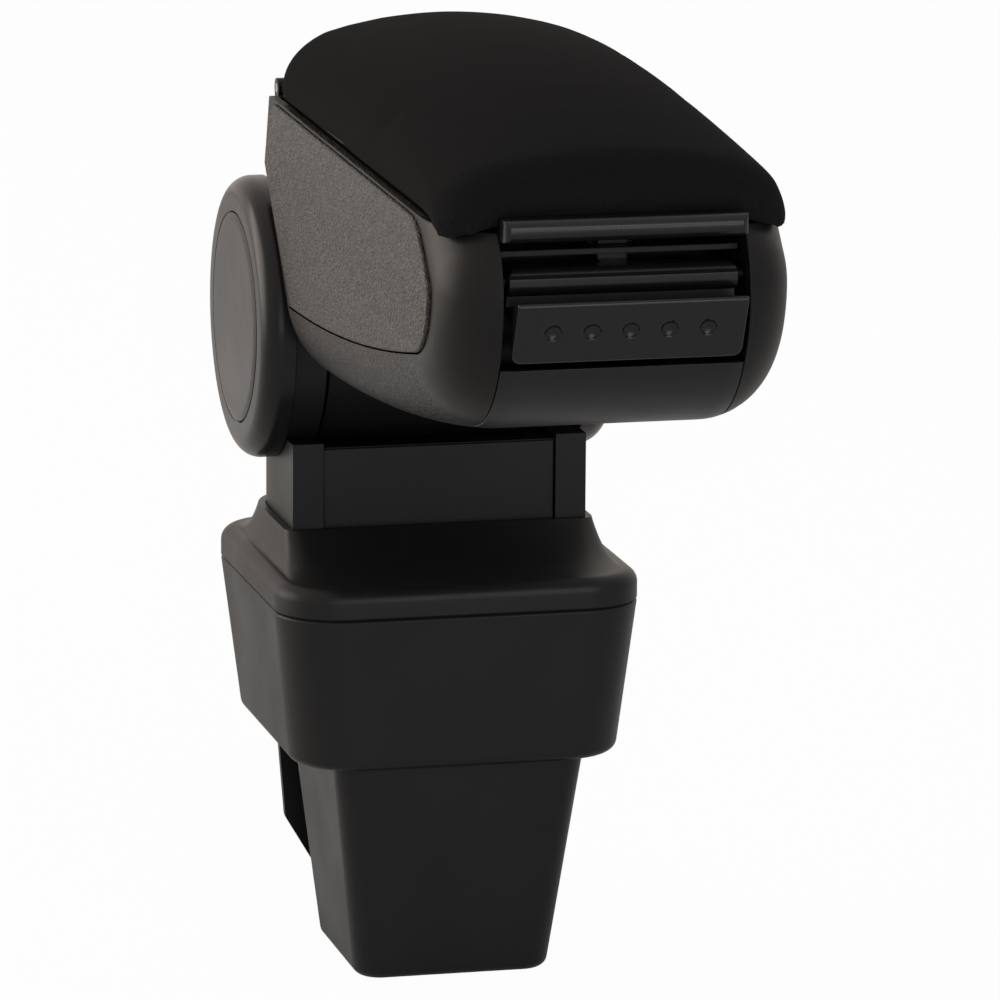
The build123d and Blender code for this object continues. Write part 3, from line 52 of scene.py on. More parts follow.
# points this close are one: in metres on a solid's mesh, in drawing units on a drawn one
SOLID_WELD = 2e-6
DRAWN_WELD = 1e-4


class Body(Enum):
    """Rigid bodies of the armrest that a piece can ride on."""

    BASE = "base"
    ARM = "arm"
    HEAD = "head"
    LID = "lid"
    LATCH = "latch"


class Slot(Enum):
    """Material slots of the record."""

    ABS = "moulded_abs"
    GRAINED = "grained_abs"
    NYLON = "filled_nylon"
    ACETAL = "acetal"
    STEEL = "steel"
    FABRIC = "fabric"
    RUBBER = "rubber"


def linear(code: str) -> tuple[float, float, float, float]:
    """Turns an sRGB hex colour into linear light.

    Args:
        code: Colour such as "#1b1b1c".

    Returns:
        Red, green, blue and an alpha of one.
    """
    parts = [int(code[i:i + 2], 16) / 255.0 for i in (1, 3, 5)]
    # the curve that the sRGB standard gives
    light = [p / 12.92 if p <= 0.04045 else ((p + 0.055) / 1.055) ** 2.4 for p in parts]
    return light[0], light[1], light[2], 1.0


def add_node(tree: bpy.types.NodeTree, kind: str, inputs: dict[Any, Any] | None = None,
             **settings: Any) -> Any:
    """Adds a node with its settings, and links or sets its inputs.

    Args:
        tree: Node tree that takes the node.
        kind: Blender's type name of the node.
        inputs: Socket name or number to a value, or to an output socket that is linked.
        settings: Attributes of the node.

    Returns:
        The new node.
    """
    made = tree.nodes.new(kind)
    for name, value in settings.items():
        setattr(made, name, value)
    for key, value in (inputs or {}).items():
        if isinstance(value, bpy.types.NodeSocket):
            tree.links.new(value, made.inputs[key])
        else:
            made.inputs[key].default_value = value
    return made


def per_metre(size_mm: float) -> float:
    """Texture scale that gives a pattern one repeat in a real size."""
    return 1.0 / (size_mm * MM)


def ramp(value: float, start: float, end: float) -> float:
    """Smooth step from nought at start to one at end, which may lie on either side."""
    share = clamp((value - start) / (end - start))
    return share * share * (3.0 - 2.0 * share)


def clamp(value: float) -> float:
    """Keeps a share between nought and one."""
    return min(max(value, 0.0), 1.0)


@dataclass(frozen=True)
class Finish:
    """A surface that makes its own material."""

    name: str

    def material(self) -> bpy.types.Material:
        """Builds the material once.

        Returns:
            The material, which later calls find by its name.
        """
        found = bpy.data.materials.get(self.name)
        if found:
            return found
        made = bpy.data.materials.new(self.name)
        made.use_nodes = True
        tree = made.node_tree
        place = add_node(tree, "ShaderNodeTexCoord").outputs["Object"]
        self.paint(tree, tree.nodes["Principled BSDF"], place)
        return made

    def paint(self, tree: bpy.types.NodeTree, shader: Any, place: bpy.types.NodeSocket) -> None:
        """Adds the finish's own nodes; each kind of finish has its own.

        Args:
            tree: The material's node tree.
            shader: Its Principled shader.
            place: Object coordinates.
        """
        raise NotImplementedError


@dataclass(frozen=True)
class Moulded(Finish):
    """Injection-moulded plastic: one colour all through, its skin taken from the mould's texture."""

    colour: str
    light: str
    roughness: float
    specular: float
    grain_mm: float
    grain_depth_mm: float
    polish: float = 0.06
    flow_mm: float = 38.0
    flow_reach: tuple[float, float] = (0.1, 0.9)

    def paint(self, tree: bpy.types.NodeTree, shader: Any, place: bpy.types.NodeSocket) -> None:
        """Adds flow marks in colour and gloss, and the mould's skin as relief.

        Args:
            tree: The material's node tree.
            shader: Its Principled shader.
            place: Object coordinates.
        """
        shader.inputs["Specular IOR Level"].default_value = self.specular
        # slow flow marks of the moulding, tens of millimetres long
        flow = add_node(tree, "ShaderNodeTexNoise",
                        {"Vector": place, "Scale": per_metre(self.flow_mm), "Detail": 3.0})
        # spark-eroded skin of the mould, drawn a little coarser than the real one so that it shows
        skin = add_node(tree, "ShaderNodeTexNoise",
                        {"Vector": place, "Scale": per_metre(self.grain_mm), "Detail": 4.0,
                         "Roughness": 0.62})
        tint = add_node(tree, "ShaderNodeMix",
                        {0: flow.outputs["Fac"], 6: linear(self.colour), 7: linear(self.light)},
                        data_type="RGBA")
        dull, bright = self.flow_reach
        gloss = add_node(tree, "ShaderNodeMapRange",
                         {"Value": flow.outputs["Fac"], "From Min": dull, "From Max": bright,
                          "To Min": self.roughness - self.polish,
                          "To Max": self.roughness + self.polish},
                         interpolation_type="SMOOTHSTEP")
        bump = add_node(tree, "ShaderNodeBump",
                        {"Height": skin.outputs["Fac"], "Strength": 1.0,
                         "Distance": self.grain_depth_mm * MM})
        tree.links.new(tint.outputs[2], shader.inputs["Base Color"])
        tree.links.new(gloss.outputs["Result"], shader.inputs["Roughness"])
        tree.links.new(bump.outputs["Normal"], shader.inputs["Normal"])


@dataclass(frozen=True)
class LeatherGrain(Finish):
    """ABS panel with a moulded leather grain: pebbles with a fine valley round each."""

    # colours of the painted shade in the valleys and of the painted highlight on the pebble tops
    valley_shade: str
    pebble_highlight: str
    pebble_mm: float
    depth_mm: float
    roughness: float
    specular: float
    smooth_front_mm: float | None = None
    fade_mm: float = 14.0
    smooth_level: float = 0.3
    stretch: float = 2.2
    wobble_size: float = 2.2
    wobble: float = 0.0009
    valley_width: float = 0.32
    grit_size: float = 1.1
    grit_reach: tuple[float, float] = (0.36, 0.64)
    grit_share: float = 0.5
    valley_dull: float = 0.12
    pebble_polish: float = 0.06

    def paint(self, tree: bpy.types.NodeTree, shader: Any, place: bpy.types.NodeSocket) -> None:
        """Adds pebbles and grit as one relief that also sets gloss, and colours it with painted shade in the
        valleys and painted highlight on the pebble tops.

        Args:
            tree: The material's node tree.
            shader: Its Principled shader.
            place: Object coordinates.
        """
        shader.inputs["Specular IOR Level"].default_value = self.specular
        # the hide's grain runs lengthwise, so its pebbles are longer than they are high
        drawn = add_node(tree, "ShaderNodeMapping",
                         {"Vector": place, "Scale": (1.0, 1.0 / self.stretch, 1.0)})
        wobble = add_node(tree, "ShaderNodeTexNoise",
                          {"Vector": drawn.outputs[0], "Detail": 2.0,
                           "Scale": per_metre(self.wobble_size * self.pebble_mm)})
        shifted = add_node(tree, "ShaderNodeMix",
                           {0: self.wobble, 4: drawn.outputs[0], 5: wobble.outputs["Color"]},
                           data_type="VECTOR", clamp_factor=False)
        cells = add_node(tree, "ShaderNodeTexVoronoi",
                         {"Vector": shifted.outputs[1], "Scale": per_metre(self.pebble_mm),
                          "Randomness": 1.0}, feature="DISTANCE_TO_EDGE")
        pebbles = add_node(tree, "ShaderNodeMapRange",
                           {"Value": cells.outputs["Distance"], "From Min": 0.0,
                            "From Max": self.valley_width}, interpolation_type="SMOOTHSTEP")
        grit = add_node(tree, "ShaderNodeTexNoise",
                        {"Vector": drawn.outputs[0], "Detail": 3.0, "Roughness": 0.6,
                         "Scale": per_metre(self.grit_size * self.pebble_mm)})
        low, high = self.grit_reach
        speck = add_node(tree, "ShaderNodeMapRange",
                         {"Value": grit.outputs["Fac"], "From Min": low, "From Max": high})
        height = add_node(tree, "ShaderNodeMix",
                          {0: self.grit_share, 2: pebbles.outputs["Result"],
                           3: speck.outputs["Result"]})
        if self.smooth_front_mm is not None:
            # the mould is polished over the last stretch to the front
            ways = add_node(tree, "ShaderNodeSeparateXYZ", {0: place})
            fade = add_node(tree, "ShaderNodeMapRange",
                            {"Value": ways.outputs["Y"], "From Min": self.smooth_front_mm * MM,
                             "From Max": (self.smooth_front_mm + self.fade_mm) * MM},
                            interpolation_type="SMOOTHSTEP")
            height = add_node(tree, "ShaderNodeMix",
                              {0: fade.outputs["Result"], 2: self.smooth_level,
                               3: height.outputs[0]})
        # painted shade in the valleys and painted highlight on the pebble tops and grit specks, following the
        # relief
        tint = add_node(tree, "ShaderNodeMix",
                        {0: height.outputs[0], 6: linear(self.valley_shade), 7: linear(self.pebble_highlight)},
                        data_type="RGBA")
        gloss = add_node(tree, "ShaderNodeMapRange",
                         {"Value": height.outputs[0], "To Min": self.roughness + self.valley_dull,
                          "To Max": self.roughness - self.pebble_polish})
        bump = add_node(tree, "ShaderNodeBump",
                        {"Height": height.outputs[0], "Strength": 1.0,
                         "Distance": self.depth_mm * MM})
        tree.links.new(tint.outputs[2], shader.inputs["Base Color"])
        tree.links.new(gloss.outputs["Result"], shader.inputs["Roughness"])
        tree.links.new(bump.outputs["Normal"], shader.inputs["Normal"])


@dataclass(frozen=True)
class Knit(Finish):
    """Close warp-knit polyester over foam: nearly flat black with a soft bloom at the edges."""

    thread: str
    gap: str
    rib_mm: float
    depth_mm: float
    roughness: float
    sheen: float
    specular: float = 0.02
    bloom: str = "#8f8d8c"
    bloom_roughness: float = 0.55
    course_share: float = 0.8
    drift_mm: float = 3.0
    drift: float = 0.0022
    fuzz_mm: float = 1.1
    fuzz_share: float = 0.7
    fuzz_relief: float = 0.6

    def paint(self, tree: bpy.types.NodeTree, shader: Any, place: bpy.types.NodeSocket) -> None:
        """Adds the stitches in colour and the fuzz of the thread as relief.

        Args:
            tree: The material's node tree.
            shader: Its Principled shader.
            place: Object coordinates.
        """
        shader.inputs["Roughness"].default_value = self.roughness
        shader.inputs["Specular IOR Level"].default_value = self.specular
        shader.inputs["Sheen Weight"].default_value = self.sheen
        shader.inputs["Sheen Roughness"].default_value = self.bloom_roughness
        shader.inputs["Sheen Tint"].default_value = linear(self.bloom)
        # stitches wander a little, as on stretched cloth
        drift = add_node(tree, "ShaderNodeTexNoise",
                         {"Vector": place, "Scale": per_metre(self.drift_mm), "Detail": 2.0})
        shifted = add_node(tree, "ShaderNodeMix",
                           {0: self.drift, 4: place, 5: drift.outputs["Color"]},
                           data_type="VECTOR", clamp_factor=False)
        ways = add_node(tree, "ShaderNodeSeparateXYZ", {0: shifted.outputs[1]})
        waves = []
        # wales across the lid and courses along it, drawn coarser than the real stitches so that they show
        for axis, size in (("X", self.rib_mm), ("Y", self.course_share * self.rib_mm)):
            turn = add_node(tree, "ShaderNodeMath",
                            {0: ways.outputs[axis], 1: FULL_TURN * per_metre(size)},
                            operation="MULTIPLY")
            waves.append(add_node(tree, "ShaderNodeMath", {0: turn.outputs[0]}, operation="SINE"))
        weave = add_node(tree, "ShaderNodeMath",
                         {0: waves[0].outputs[0], 1: waves[1].outputs[0]}, operation="MULTIPLY")
        level = add_node(tree, "ShaderNodeMapRange",
                         {"Value": weave.outputs[0], "From Min": -1.0, "From Max": 1.0})
        fuzz = add_node(tree, "ShaderNodeTexNoise",
                        {"Vector": place, "Scale": per_metre(self.fuzz_mm), "Detail": 3.0,
                         "Roughness": 0.6})
        height = add_node(tree, "ShaderNodeMix",
                          {0: self.fuzz_share, 2: level.outputs["Result"], 3: fuzz.outputs["Fac"]})
        tint = add_node(tree, "ShaderNodeMix",
                        {0: height.outputs[0], 6: linear(self.gap), 7: linear(self.thread)},
                        data_type="RGBA")
        bump = add_node(tree, "ShaderNodeBump",
                        {"Height": fuzz.outputs["Fac"], "Strength": self.fuzz_relief,
                         "Distance": self.depth_mm * MM})
        tree.links.new(tint.outputs[2], shader.inputs["Base Color"])
        tree.links.new(bump.outputs["Normal"], shader.inputs["Normal"])


@dataclass(frozen=True)
class ZincSteel(Finish):
    """Zinc-plated steel: pale grey metal, a little cloudy from the plating bath."""

    colour: str
    cloud: str
    roughness: float
    cloud_mm: float = 3.0
    polish: float = 0.1
    dull: float = 0.12

    def paint(self, tree: bpy.types.NodeTree, shader: Any, place: bpy.types.NodeSocket) -> None:
        """Adds the plating's clouds in colour and gloss.

        Args:
            tree: The material's node tree.
            shader: Its Principled shader.
            place: Object coordinates.
        """
        shader.inputs["Metallic"].default_value = 1.0
        cloud = add_node(tree, "ShaderNodeTexNoise",
                         {"Vector": place, "Scale": per_metre(self.cloud_mm), "Detail": 4.0})
        gloss = add_node(tree, "ShaderNodeMapRange",
                         {"Value": cloud.outputs["Fac"], "To Min": self.roughness - self.polish,
                          "To Max": self.roughness + self.dull})
        tint = add_node(tree, "ShaderNodeMix",
                        {0: cloud.outputs["Fac"], 6: linear(self.colour), 7: linear(self.cloud)},
                        data_type="RGBA")
        tree.links.new(tint.outputs[2], shader.inputs["Base Color"])
        tree.links.new(gloss.outputs["Result"], shader.inputs["Roughness"])


# satin black ABS of base and column: broad, soft highlights
SATIN_ABS = Moulded("abs_satin_moulded", "#161617", "#1b1b1b", 0.41, 0.17, 0.55, 0.008)
# the same ABS from a finer mould on the hinge discs: a clearer sheen at a low angle
DISC_ABS = Moulded("abs_disc_moulded", "#161617", "#1b1b1b", 0.28, 0.2, 0.55, 0.006)
# smooth ABS of the belly: highlights that follow its curve
CHEEK_ABS = Moulded("abs_smooth_moulded", "#151516", "#191919", 0.35, 0.2, 0.7, 0.005)
# polished ABS where fingers grip: the deepest black with the brightest edges
GRIP_ABS = Moulded("abs_polished_moulded", "#0f0f10", "#131314", 0.3, 0.27, 0.8, 0.003)
# coarse leather grain of the side panels: greyer than the rest from a painted highlight on its pebbles and
# grit, with painted shade in its valleys
GRAIN_ABS = LeatherGrain("abs_leather_grain_painted_highlight", "#0d0c0c", "#3a3632", 1.3, 0.5, 0.45, 0.35)
# finer grain of the hull, polished away towards its front, with a painted highlight on its pebbles and painted
# shade in its valleys
HULL_ABS = LeatherGrain("abs_hull_grain_painted_highlight", "#111111", "#262423", 1.1, 0.3, 0.33, 0.13, -238.0)
# glass-filled nylon of the arm: matt, with the fibres just under its skin
NYLON = Moulded("nylon_glass_filled", "#131314", "#181818", 0.46, 0.13, 0.4, 0.012)
# acetal of rails and bushes: dark grey and waxy
ACETAL = Moulded("acetal_machined", "#3a3a3b", "#434344", 0.33, 0.4, 0.9, 0.004)
# soft rubber of the buffers: dull, almost no highlight
RUBBER = Moulded("rubber_soft", "#131313", "#191919", 0.8, 0.2, 0.5, 0.02)
# knit of the lid: takes the light in, with a faint bloom where it turns away
LID_KNIT = Knit("polyester_warp_knit", "#1c1c1d", "#101011", 1.3, 0.12, 0.95, 0.045)
# zinc-plated steel of screws, pins and bracket: the only bright metal
STEEL = ZincSteel("steel_zinc_plated", "#b9b8b4", "#8d8b86", 0.36)


def to_object(name: str, bm: bmesh.types.BMesh) -> bpy.types.Object:
    """Turns a bmesh into an object at the origin with smooth faces.

    Args:
        name: Name of the object and its mesh.
        bm: Geometry in metres, which is freed.

    Returns:
        The object, linked into the scene.
    """
    for face in bm.faces:
        face.smooth = True
    mesh = bpy.data.meshes.new(name)
    bm.to_mesh(mesh)
    bm.free()
    made = bpy.data.objects.new(name, mesh)
    bpy.context.scene.collection.objects.link(made)
    return made


def drawn_object(name: str, bm: bmesh.types.BMesh, scale: float = MM) -> bpy.types.Object:
    """Turns a drawn bmesh into an object in metres.

    Args:
        name: Name of the piece.
        bm: Geometry, which is freed.
        scale: Factor from the drawing, usually in millimetres, to metres.

    Returns:
        The object, with faces that point outwards.
    """
    bmesh.ops.remove_doubles(bm, verts=bm.verts, dist=DRAWN_WELD)
    bmesh.ops.recalc_face_normals(bm, faces=bm.faces)
    bmesh.ops.scale(bm, vec=(scale, scale, scale), verts=bm.verts)
    return to_object(name, bm)


def join_rings(bm: bmesh.types.BMesh, rings: Sequence[Sequence[bmesh.types.BMVert]]) -> None:
    """Lays a belt of four-sided faces between each ring of points and the next.

    Args:
        bm: Geometry that holds the points.
        rings: Closed rings with equal numbers of points.
    """
    for low, high in zip(rings, rings[1:]):
        for k in range(len(low)):
            nxt = (k + 1) % len(low)
            bm.faces.new((low[k], low[nxt], high[nxt], high[k]))


def apply_modifiers(obj: bpy.types.Object) -> None:
    """Turns an object's modifiers into a plain mesh.

    Args:
        obj: Object that is changed in place.
    """
    graph = bpy.context.evaluated_depsgraph_get()
    mesh = bpy.data.meshes.new_from_object(obj.evaluated_get(graph))
    obj.modifiers.clear()
    old = obj.data
    obj.data = mesh
    bpy.data.meshes.remove(old)


def round_edges(obj: bpy.types.Object, width_mm: float, segments: int = 2,
                flat_weight: int = 50) -> None:
    """Rounds every sharp edge and keeps the flats flat.

    Args:
        obj: Piece to round.
        width_mm: Width of the rounding.
        segments: Faces across it.
        flat_weight: How strongly large faces hold the shading.
    """
    bevel = obj.modifiers.new("round", "BEVEL")
    bevel.width = width_mm * MM
    bevel.segments = segments
    bevel.limit_method = "ANGLE"
    bevel.angle_limit = SMOOTH_ANGLE
    bevel.use_clamp_overlap = False
    bevel.harden_normals = False
    bevel.miter_outer = "MITER_ARC"
    weight = obj.modifiers.new("flats", "WEIGHTED_NORMAL")
    weight.mode = "FACE_AREA"
    weight.weight = flat_weight
    weight.keep_sharp = True
    apply_modifiers(obj)


def wear(obj: bpy.types.Object, finish: Finish, body: Body, nodes: Sequence[str]) -> None:
    """Gives a piece its finish and its place in the model.

    Args:
        obj: The piece.
        finish: Finish whose material it takes.
        body: Body that it rides on.
        nodes: CAD nodes that it stands for.
    """
    obj.data.materials.clear()
    obj.data.materials.append(finish.material())
    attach(obj, body.value)
    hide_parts(*nodes)
    LOG.info("%s rides on %s", obj.name, body.value)


def merged_copy(node: str, name: str) -> bpy.types.Object:
    """Copies a solid's mesh with its loose triangles joined and its flats made whole.

    Args:
        node: CAD node to copy.
        name: Name of the piece.

    Returns:
        The copy, with smooth faces and sharp edges marked.
    """
    bm = bmesh.new()
    bm.from_mesh(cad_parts[node].data)
    bmesh.ops.remove_doubles(bm, verts=bm.verts, dist=SOLID_WELD)
    bmesh.ops.dissolve_limit(bm, angle_limit=FLAT_ANGLE, verts=bm.verts, edges=bm.edges)
    bmesh.ops.recalc_face_normals(bm, faces=bm.faces)
    for edge in bm.edges:
        edge.smooth = edge.calc_face_angle(0.0) < SMOOTH_ANGLE
    return to_object(name, bm)


@dataclass
class Moulding:
    """A solid whose shape is right: a copy with softened edges and a finish."""

    node: str
    body: Body
    slot: Slot
    finish: Finish
    edge_mm: float = 0.0

    def build(self) -> bpy.types.Object:
        """Makes the copy, rounds its edges and dresses it.

        Returns:
            The finished piece.
        """
        piece = merged_copy(self.node, self.node + "_moulding")
        if self.edge_mm > 0.0:
            round_edges(piece, self.edge_mm)
        wear(piece, self.finish, self.body, [self.node])
        return piece


@dataclass
class PaddedLid:
    """Foam lid under one sheet of stretched knit, rolled in all round its foot; in millimetres."""

    # outline from above
    width: float = 115.6
    front: float = -264.0
    rear: float = -3.2
    rear_corner: float = 19.0
    front_corner: float = 17.0
    front_tuck: float = 0.7
    least_corner: float = 2.0
    corner_steps: int = 12
    spokes: int = 26
    flare: float = 0.5
    flare_from: float = -170.0
    flare_to: float = -256.0
    # foot, lifted over the grip bar, with a skirt at the two front corners
    rise_rear: float = 310.1
    slope: float = 5.0 / 264.0
    bar_half: float = 40.6
    bar_lift: float = 5.2
    bar_depth: float = 3.9
    bar_end_blend: float = 1.5
    bar_back_blend: float = 2.0
    skirt: float = 4.8
    skirt_from: tuple[float, float] = (40.0, -239.0)
    skirt_to: tuple[float, float] = (57.0, -252.0)
    skirt_inset: float = 2.0
    # crown
    height: float = 33.6
    shoulder: float = 20.0
    peak: float = 0.62
    front_fall: float = 0.43
    rear_fall: float = 0.2
    crown_rings: tuple[float, ...] = (0.85, 0.65, 0.4, 0.15)
    # inset from the outline and share of the height, from the foot to the shoulder
    profile: tuple[tuple[float, float], ...] = (
        (6.0, 0.0), (1.2, 0.0), (0.3, 0.05), (0.0, 0.13), (0.1, 0.27), (0.6, 0.42), (1.7, 0.57),
        (3.4, 0.71), (5.9, 0.83), (9.2, 0.92), (14.0, 1.0))
    # cloth
    voxel_mm: float = 2.2
    pressure: float = 4.0
    steps: int = 20
    cap_mm: float = 1.0
    held_mm: float = 6.0
    relax_factor: float = 0.5
    relax_rounds: int = 12

    def outline(self, inset: float) -> list[tuple[float, float]]:
        """Rounded outline of the lid, seen from above.

        Args:
            inset: Distance inside the widest outline.

        Returns:
            Points in turn, counter-clockwise.
        """
        half, front, rear = self.width / 2 - inset, self.front + inset, self.rear - inset
        back = max(self.rear_corner - inset, self.least_corner)
        nose = max(self.front_corner - self.front_tuck * inset, self.least_corner)
        pins = [(half - back, rear - back, 0, back), (back - half, rear - back, 90, back),
                (nose - half, front + nose, 180, nose), (half - nose, front + nose, 270, nose)]
        points = []
        for (x, y, start, radius), (nx, ny, _, turned) in zip(pins, pins[1:] + pins[:1]):
            for k in range(self.corner_steps + 1):
                turn = math.radians(start + 90.0 * k / self.corner_steps)
                points.append((x + radius * math.cos(turn), y + radius * math.sin(turn)))
            end = math.radians(start + 90)
            ax, ay = points[-1]
            bx, by = nx + turned * math.cos(end), ny + turned * math.sin(end)
            points += [(ax + (bx - ax) * k / self.spokes, ay + (by - ay) * k / self.spokes)
                       for k in range(1, self.spokes)]
        spread = 2.0 * self.flare / self.width
        return [(x * (1.0 + spread * ramp(y, self.flare_from, self.flare_to)), y) for x, y in points]

    def level(self, y: float) -> float:
        """Height of the hull's rim under the lid."""
        return self.rise_rear + self.slope * y

    def droop(self, x: float, y: float) -> float:
        """How far the fabric hangs below the foot at the two front corners."""
        (in_x, in_y), (out_x, out_y) = self.skirt_from, self.skirt_to
        return self.skirt * ramp(y, in_y, out_y) * ramp(abs(x), in_x, out_x)

    def foot(self, x: float, y: float) -> float:
        """Height of the underside, lifted over the grip bar.

        Args:
            x: Place across the lid.
            y: Place along the lid.

        Returns:
            Height in millimetres.
        """
        over = clamp((self.bar_half - abs(x)) / self.bar_end_blend + 0.5)
        back = clamp((self.front + self.bar_depth - y) / self.bar_back_blend + 0.5)
        return self.level(y) + self.bar_lift * over * back

    def crown(self, x: float, y: float) -> float:
        """Height of the stretched top, full in the middle and lower along the edges.

        Args:
            x: Place across the lid.
            y: Place along the lid.

        Returns:
            Height in millimetres.
        """
        across = 2.0 * x / self.width
        side = self.height - (self.height - self.shoulder) * across * across
        along = (y - self.front) / (self.rear - self.front)
        if along < self.peak:
            arch = 1.0 - self.front_fall * (1.0 - along / self.peak) ** 2
        else:
            arch = 1.0 - self.rear_fall * ((along - self.peak) / (1.0 - self.peak)) ** 2
        return self.level(y) + side * arch

    def build(self) -> bpy.types.Object:
        """Makes the crowned form, blows it up as stretched cloth and dresses it.

        Returns:
            The finished lid.
        """
        bm = bmesh.new()
        rings: list[list[bmesh.types.BMVert]] = []
        # foot rolled in, wall, then a roll over the shoulder to the crown
        for inset, climb in self.profile:
            ring = []
            for x, y in self.outline(inset):
                low = self.foot(x, y) - (self.droop(x, y) if inset < self.skirt_inset else 0.0)
                ring.append(bm.verts.new((x, y, low + climb * (self.crown(x, y) - low))))
            rings.append(ring)
        inner = self.outline(self.profile[-1][0])
        mid_y = (self.front + self.rear) / 2
        for share in self.crown_rings:
            ring = []
            for x, y in inner:
                top_x, top_y = x * share, mid_y + (y - mid_y) * share
                ring.append(bm.verts.new((top_x, top_y, self.crown(top_x, top_y))))
            rings.append(ring)
        join_rings(bm, rings)
        bm.faces.new(rings[-1])
        bm.faces.new(list(reversed(rings[0])))
        lid = drawn_object("lid_cushion", bm)
        self.blow_up(lid)
        wear(lid, LID_KNIT, Body.LID, ["lid_pad"])
        return lid

    def blow_up(self, lid: bpy.types.Object) -> None:
        """Remeshes the form and lets pressed cloth round it off.

        Args:
            lid: The crowned form, changed in place.
        """
        remesh = lid.modifiers.new("remesh", "REMESH")
        remesh.mode = "VOXEL"
        remesh.voxel_size = self.voxel_mm * MM
        remesh.use_smooth_shade = True
        apply_modifiers(lid)
        self.press(lid)
        relax = lid.modifiers.new("relax", "SMOOTH")
        relax.factor = self.relax_factor
        relax.iterations = self.relax_rounds
        finer = lid.modifiers.new("finer", "SUBSURF")
        finer.levels = finer.render_levels = 1
        apply_modifiers(lid)
        for face in lid.data.polygons:
            face.use_smooth = True

    def press(self, lid: bpy.types.Object) -> None:
        """Swells the form as cloth under pressure, by a capped amount and not at its foot.

        Args:
            lid: The remeshed form, changed in place.
        """
        rest = [v.co.copy() for v in lid.data.vertices]
        cloth = lid.modifiers.new("cloth", "CLOTH")
        cloth.settings.use_pressure = True
        cloth.settings.uniform_pressure_force = self.pressure
        cloth.settings.effector_weights.gravity = 0.0
        cloth.point_cache.frame_start = 1
        cloth.point_cache.frame_end = self.steps
        for step in range(1, self.steps + 1):
            bpy.context.scene.frame_set(step)
        apply_modifiers(lid)
        bpy.context.scene.frame_set(1)
        cap = self.cap_mm * MM
        for vert, start in zip(lid.data.vertices, rest):
            move = vert.co - start
            low = self.foot(start.x / MM, start.y / MM) * MM
            hold = clamp((start.z - low) / (self.held_mm * MM))
            if move.length > cap:
                move *= cap / move.length
            vert.co = start + move * hold


